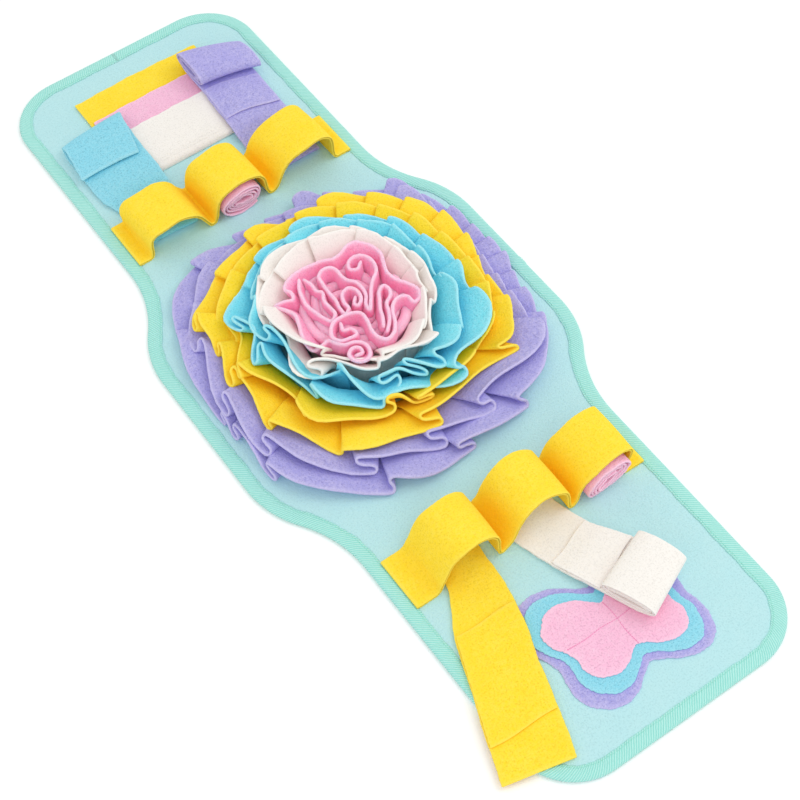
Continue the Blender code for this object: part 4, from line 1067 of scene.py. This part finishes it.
def ruffle(key):
    """A closed gathered strip: three-layer folds joined by panels, all of one cut length."""
    slot, material, *profile = RINGS[key]
    line = smooth_line(profile, 80)
    run = lengths(line)
    width = run[-1]
    spots, tilt = (np.stack([np.interp(ROWS_OUT * width, run, v[:, k]) for k in range(2)], -1)
                   for v in (line, unit(np.gradient(line, axis=0))))
    up = np.stack([-tilt[:, 1], tilt[:, 0]], -1)
    direction, back_edge, rho, bend, side, stand_end, stand_start = np.array(FOLDS[key], float).T
    rng = np.random.default_rng(sum(map(ord, key)))
    count = len(direction)
    theta = np.radians(direction)
    step = np.diff(np.r_[theta, theta[0] + TAU])
    bend = np.radians(bend)
    share = ROWS_OUT[:, None]

    # one cut length: the folds tighten and lengthen from the edge down to the root
    edge_r = spots[-1, 0] + around(REACH[key], direction + np.degrees(step) / 2)
    panel_edge = step * edge_r - 2 * rho * np.sin(bend) - back_edge * np.cos(bend)
    cut = 2 * rho * bend + back_edge + panel_edge
    span = step * (spots[:, :1] + (edge_r - spots[-1, 0]) * share)
    r = TIGHT_RADIUS + (rho - TIGHT_RADIUS) * share ** 1.4
    a = TIGHT_TURN + (bend - TIGHT_TURN) * share ** 1.4
    sine, cosine = np.sin(a), np.cos(a)
    back = np.maximum((cut - span - 2 * r * (a - sine)) / (1 - cosine), LEAST_BACK)
    panel = span - 2 * r * sine - back * cosine
    rise = 2 * r * (1 - cosine) + back * sine
    leave = np.where(side > 0, 0.0, rise)
    arrive = np.roll(np.where(side > 0, rise, 0.0), -1, 1)
    low = np.clip(0.95 * back / panel, 0, HELD_MOST)
    high = 1 - np.clip(0.95 * np.roll(back, -1, 1) / panel, 0, HELD_MOST)
    dome = np.minimum(panel_edge * PANEL_DOME, HIGHEST_DOME) * rng.uniform(0.2, 1.3, count)
    half_out = (stand_end + stand_start) / 2
    next_end = np.roll(stand_end, -1)
    over, height, out = [], [], []

    def add(along, above, reach):
        over.append(along)
        height.append(above)
        out.append(np.broadcast_to(reach, along.shape))

    def fold(along, above, reach):
        add(along, np.where(side > 0, rise - above, above), reach)

    for q in range(TURN_STEPS):
        b = a * q / TURN_STEPS
        fold(r * np.sin(b), r * (1 - np.cos(b)),
             stand_end + (half_out - stand_end) * (1 - np.cos(b)) / (1 - cosine))
    for q in range(BACK_STEPS):
        gone = back * (q / BACK_STEPS)
        fold(r * sine + gone * cosine, r * (1 - cosine) + gone * sine, half_out)
    start, base = r * sine + back * cosine, r * (1 - cosine) + back * sine
    for q in range(TURN_STEPS):
        b = a * (1 - q / TURN_STEPS)
        fold(start + r * (sine - np.sin(b)), base + r * (np.cos(b) - cosine),
             stand_start + (half_out - stand_start) * (1 - np.cos(b)) / (1 - cosine))
    for q in range(PANEL_STEPS):
        e = q / PANEL_STEPS
        part = (e - low) / np.maximum(high - low, 0.08)
        bulge = dome * np.sin(math.pi * np.clip(part, 0, 1)) ** 2 * share ** 1.5
        add(start + r * sine + panel * e, leave + (arrive - leave) * smooth_step(part) + bulge,
            stand_start * (1 - e) ** 2.2 + next_end * e ** 2.2)
    over, height, out = (np.stack(v, -1) for v in (over, height, out))
    middle_of_fold = (r * sine + back * cosine / 2)[..., None]
    angle = theta[None, :, None] + (over - middle_of_fold) / span[..., None] * step[None, :, None]
    angle, height, out = (v.reshape(len(ROWS_OUT), -1) for v in (angle, height, out))

    # round the ring
    degrees = np.degrees(angle)
    run_edge = np.r_[lengths(np.stack([angle[-1] * edge_r.mean(), height[-1]], -1)), 0]
    run_edge[-1] = run_edge[-2] + 1.5
    for row in range(len(ROWS_OUT)):
        out[row] = softened(out[row], run_edge, CORNER_SOFT)[:-1]
    reach = around(REACH[key], degrees) * share ** 1.5 + out * share ** 3
    turn = degrees / 360
    wander = waves(turn, 7 + count, ((1.8, 3), (1.2, 8), (0.9, 15))) * share ** 2
    droop = waves(turn, 5 + count, ((1.1, 2), (0.9, 5), (0.6, 11))) * share ** 1.5
    crease = waves(turn + share * 0.02, 3 + count, ((0.5, 23), (0.35, 37))) * share
    standing = np.clip(np.cos(angle - STANDING_SIDE), 0, 1)
    limit = (FOLD_HEIGHT + FOLD_HEIGHT_EDGE * share ** 3
             + FOLD_HEIGHT_STANDING * standing * share ** 4)
    height = limit * np.tanh(height / limit) + crease
    radius = spots[:, :1] + reach + wander + up[:, :1] * height
    z = spots[:, 1:] + up[:, 1:] * height + droop
    if key in HANGING:
        z = z - around(HANGING[key], degrees) * share ** 2
    grid = np.stack([FLOWER[0] + radius * np.cos(angle),
                     FLOWER[1] + radius * LONGER_ALONG * np.sin(angle),
                     np.maximum(z, RUFFLE_LOWEST)], -1).transpose(1, 0, 2)
    for _ in range(SMOOTHINGS):
        grid = grid * 0.5 + (np.roll(grid, 1, 0) + np.roll(grid, -1, 0)) * 0.25
    piece = cloth(f"ruffle_strip_{key}", grid, RUFFLE_THICK[None, :], material, closed=True)
    done(piece, slot, f"ruffle_{key}")
    return piece


# the pink centre: runs of one gathered strip, each by its upper edge as x, y and height
CENTRE_RUNS = (
    ((-33, -42, 50), (-28, -43, 51), (-27, -38, 52), (-32, -34, 52), (-39, -37, 52), (-40, -44, 51),
     (-35, -50, 50), (-27, -52, 51), (-21, -45, 52), (-21, -37, 53), (-27, -30, 53), (-38, -26, 53),
     (-43, -19, 53), (-46, -13, 52), (-54, -13, 50), (-63, -12, 49), (-65, -3, 50), (-63, 7, 51),
     (-58, 20, 52), (-55, 31, 52), (-58, 42, 50), (-63, 54, 48), (-54, 52, 50), (-46, 48, 52),
     (-44, 54, 54), (-47, 61, 54), (-41, 67, 54), (-31, 70, 55), (-20, 70, 56), (-9, 68, 57),
     (1, 66, 57), (10, 62, 57), (20, 63, 57), (29, 67, 57), (38, 67, 57), (45, 60, 57), (50, 50, 57),
     (51, 39, 57), (47, 29, 57), (43, 17, 57), (45, 6, 56), (52, -5, 55), (56, -16, 54),
     (52, -24, 53), (45, -25, 53), (43, -16, 54), (36, -13, 55), (26, -17, 56), (20, -25, 56),
     (15, -36, 56), (7, -45, 56), (-2, -47, 56), (-7, -41, 56), (-8, -30, 56), (-5, -19, 56),
     (-5, -7, 56), (-12, -2, 56), (-22, 0, 56), (-32, -1, 56), (-39, -7, 56), (-42, -14, 55),
     (-38, -21, 54), (-29, -24, 54), (-21, -24, 54), (-22, -16, 54), (-29, -13, 54), (-27, -6, 54)),
    ((1, 11, 55), (-3, 6, 55), (-2, 2, 56), (3, 4, 57), (7, 12, 57), (6, 20, 57), (2, 24, 57),
     (-5, 23, 56), (-10, 14, 55), (-11, 4, 55), (-16, 2, 54), (-17, 10, 54), (-15, 21, 55),
     (-15, 33, 55), (-14, 44, 55), (-12, 54, 56), (-5, 57, 57), (2, 55, 57), (5, 49, 57),
     (5, 40, 57), (7, 32, 57), (11, 27, 57), (13, 18, 57), (11, 7, 57), (5, -2, 56), (4, -9, 56),
     (12, 0, 57), (20, 11, 57), (28, 19, 57), (35, 24, 57), (39, 33, 57), (39, 42, 57),
     (35, 49, 57), (27, 52, 57), (20, 50, 56), (17, 43, 55), (23, 39, 55), (29, 43, 55)),
    ((5, -38, 55), (12, -31, 56), (18, -21, 56), (22, -12, 56), (30, -7, 57), (33, 1, 57),
     (31, 6, 57), (24, 3, 57), (18, -6, 57), (13, -14, 56), (9, -24, 56), (5, -31, 55)),
    ((-25, 58, 54), (-23, 50, 54), (-23, 42, 53), (-20, 37, 54), (-24, 27, 54), (-24, 17, 54),
     (-24, 8, 54), (-32, 3, 54), (-35, 10, 53), (-38, 21, 53), (-40, 34, 53), (-38, 45, 54),
     (-35, 54, 54), (-31, 60, 55)),
)
CENTRE_ROWS = np.array([0, 0.12, 0.25, 0.38, 0.5, 0.61, 0.71, 0.79, 0.86, 0.92, 0.96, 1.0])
# the gathers below the edge are packed close, so the strip is made fuller there
CENTRE_THICK = np.array([9, 9, 9, 9, 9, 9, 8.6, 7.4, 5.9, 4.7, 4.1, 3.7])
CENTRE_FOOT, CENTRE_LIFT = 0.74, 3.5
# spread in mm by which the runs are smoothed at their foot
CENTRE_SOFT = 12.0
# how late a run flares on its way up: the exponent near the middle, how much more it is further
# out, where it starts to grow, and over what distance
FLARE, FLARE_MORE, FLARE_FROM, FLARE_OVER = 0.55, 1.7, 54, 16
# winding of the low folds: middle, first and last radius, turns, height, thickness, how much
# longer it is along the mat, and how much narrower at its foot
COIL_MIDDLE = np.array([0.0, 16.0])
COIL_FIRST, COIL_LAST, COIL_TURNS, COIL_HIGH, COIL_THICK = 5.0, 50.0, 5.0, 43.5, 11.0
COIL_LONGER, COIL_FOOT = 1.12, 0.85
# heights of the lowest rows, where the thick cloth just clears the panel
CENTRE_LOW, COIL_LOW = 8.4, 9.4


def low_folds():
    """The strip's innermost winding, lower than the rest, seen between its folds."""
    turn = np.linspace(0, COIL_TURNS, int(70 * COIL_TURNS))
    size = COIL_FIRST + (COIL_LAST - COIL_FIRST) * turn / COIL_TURNS
    size = size + waves(turn, 51, ((1.2, 2.3), (0.6, 5.1)))
    plan = COIL_MIDDLE + np.column_stack([size * np.cos(TAU * turn),
                                          size * COIL_LONGER * np.sin(TAU * turn)])
    top = COIL_HIGH + waves(turn, 52, ((0.8, 1.1), (0.4, 2.7)))
    return np.stack([np.column_stack([
        FLOWER + (plan - FLOWER) * (COIL_FOOT + (1 - COIL_FOOT) * v),
        COIL_LOW + (top - COIL_LOW) * v]) for v in CENTRE_ROWS], 1)


def softer(line, spread):
    """An open line smoothed over a spread, counted in its points."""
    reach = int(3 * spread) + 1
    weight = np.exp(-0.5 * (np.arange(-reach, reach + 1) / spread) ** 2)
    padded = np.vstack([np.repeat(line[:1], reach, 0), line, np.repeat(line[-1:], reach, 0)])
    return np.stack([np.convolve(v, weight / weight.sum(), "valid") for v in padded.T], -1)


def rosette():
    runs = []
    for table in CENTRE_RUNS:
        line = smooth_line(table, 9 * len(table))
        gap = lengths(line)[-1] / len(line)
        grid = []
        for v in CENTRE_ROWS:
            soft = softer(line, max(0.4, CENTRE_SOFT * (1 - v) / gap))
            out = soft[:, :2] - FLOWER
            radius = np.hypot(out[:, 0], out[:, 1] / LONGER_ALONG)
            flare = FLARE + FLARE_MORE * smooth_step((radius - FLARE_FROM) / FLARE_OVER)
            plan = FLOWER + out * (CENTRE_FOOT + (1 - CENTRE_FOOT) * v ** flare)[:, None]
            z = CENTRE_LOW + (soft[:, 2] + CENTRE_LIFT - CENTRE_LOW) * v ** 0.85
            grid.append(np.column_stack([plan, z]))
        runs.append((np.stack(grid, 1), CENTRE_THICK[None, :]))
    runs.append((low_folds(), COIL_THICK))
    piece = joined_cloth("rosette_strip", runs, PINK)
    done(piece, "fleece_pink", "rosette_pink")
    return piece


# ---- camera, light and floor ---------------------------------------------------------
# angles in radians, places in metres, focal length in pixels of the square picture
CAMERA_AZIMUTH, CAMERA_ELEVATION, CAMERA_ROLL = -0.55941, 0.97942, -0.068662
CAMERA_DISTANCE, CAMERA_FOCAL = 1.71537, 1790.08
CAMERA_TARGET = np.array([-0.011263, -0.076833, 0.0])
SENSOR, PICTURE = 36.0, 800.0
FLOOR_HALF, FLOOR_Z = 6.0, -0.0005


def place_object(name, data, right, up, back, place):
    made = add_object(name, data)
    columns = np.column_stack([right, up, back, place])
    made.matrix_world = Matrix([*map(list, columns.astype(float)), [0, 0, 0, 1]])
    return made


def camera():
    azimuth, elevation, roll = CAMERA_AZIMUTH, CAMERA_ELEVATION, CAMERA_ROLL
    back = np.array([math.sin(azimuth) * math.cos(elevation),
                     -math.cos(azimuth) * math.cos(elevation), math.sin(elevation)])
    right = unit(np.cross(-back, UP))
    up = np.cross(right, -back)
    data = bpy.data.cameras.new("camera")
    data.sensor_width = SENSOR
    data.lens = CAMERA_FOCAL * SENSOR / PICTURE
    bpy.context.scene.camera = place_object(
        "camera", data, math.cos(roll) * right + math.sin(roll) * up,
        -math.sin(roll) * right + math.cos(roll) * up, back,
        CAMERA_TARGET + back * CAMERA_DISTANCE)


def area_light(name, place, size, power):
    """A round light that shines at the middle of the mat."""
    data = bpy.data.lights.new(name, "AREA")
    data.shape = "DISK"
    data.size = size
    data.energy = power
    back = unit(np.array(place))
    right = unit(np.cross((0, 1.0, 0.02), back))
    place_object(name, data, right, np.cross(back, right), back, place)


def studio():
    scene = bpy.context.scene
    scene.view_settings.view_transform = "Standard"
    scene.world = bpy.data.worlds.new("studio")
    scene.world.use_nodes = True
    background = scene.world.node_tree.nodes["Background"]
    background.inputs["Color"].default_value = (1, 1, 1, 1)
    background.inputs["Strength"].default_value = 0.92
    area_light("key", (1.3, -0.5, 2.0), 1.6, 11.0)
    area_light("fill", (-1.2, -1.4, 1.8), 2.0, 5.0)
    mesh = bpy.data.meshes.new("floor")
    corners = ((-1, -1), (1, -1), (1, 1), (-1, 1))
    mesh.from_pydata([(x * FLOOR_HALF, y * FLOOR_HALF, FLOOR_Z) for x, y in corners], [],
                     [(0, 1, 2, 3)])
    material, _, shader = nodes_of("floor_white")
    shader.inputs["Base Color"].default_value = (1.0, 1.0, 1.0, 1)
    shader.inputs["Roughness"].default_value = 1.0
    shader.inputs["Specular IOR Level"].default_value = 0.0
    mesh.materials.append(material)
    add_object("floor", mesh)


# ---- making it all -------------------------------------------------------------------
camera()
studio()
mat_panel()
edge_tape()
tape_stitching()
for row in FLAPS:
    pocket_flap(*row)
flap_stitching()
loop_band("far_band", "loop_band_far", FAR_BAND, FAR_STATIONS, 11)
loop_band("near_band", "loop_band_near", NEAR_BAND, NEAR_STATIONS, 13)
for row in STRAPS:
    strap(*row)
for row in STRAP_POCKETS:
    strap_pocket(*row)
for row in ROLLS:
    strip_roll(*row)
for row in WING_LAYERS:
    wing_layer(*row)
wing_stitching()
for key in RINGS:
    ruffle(key)
rosette()
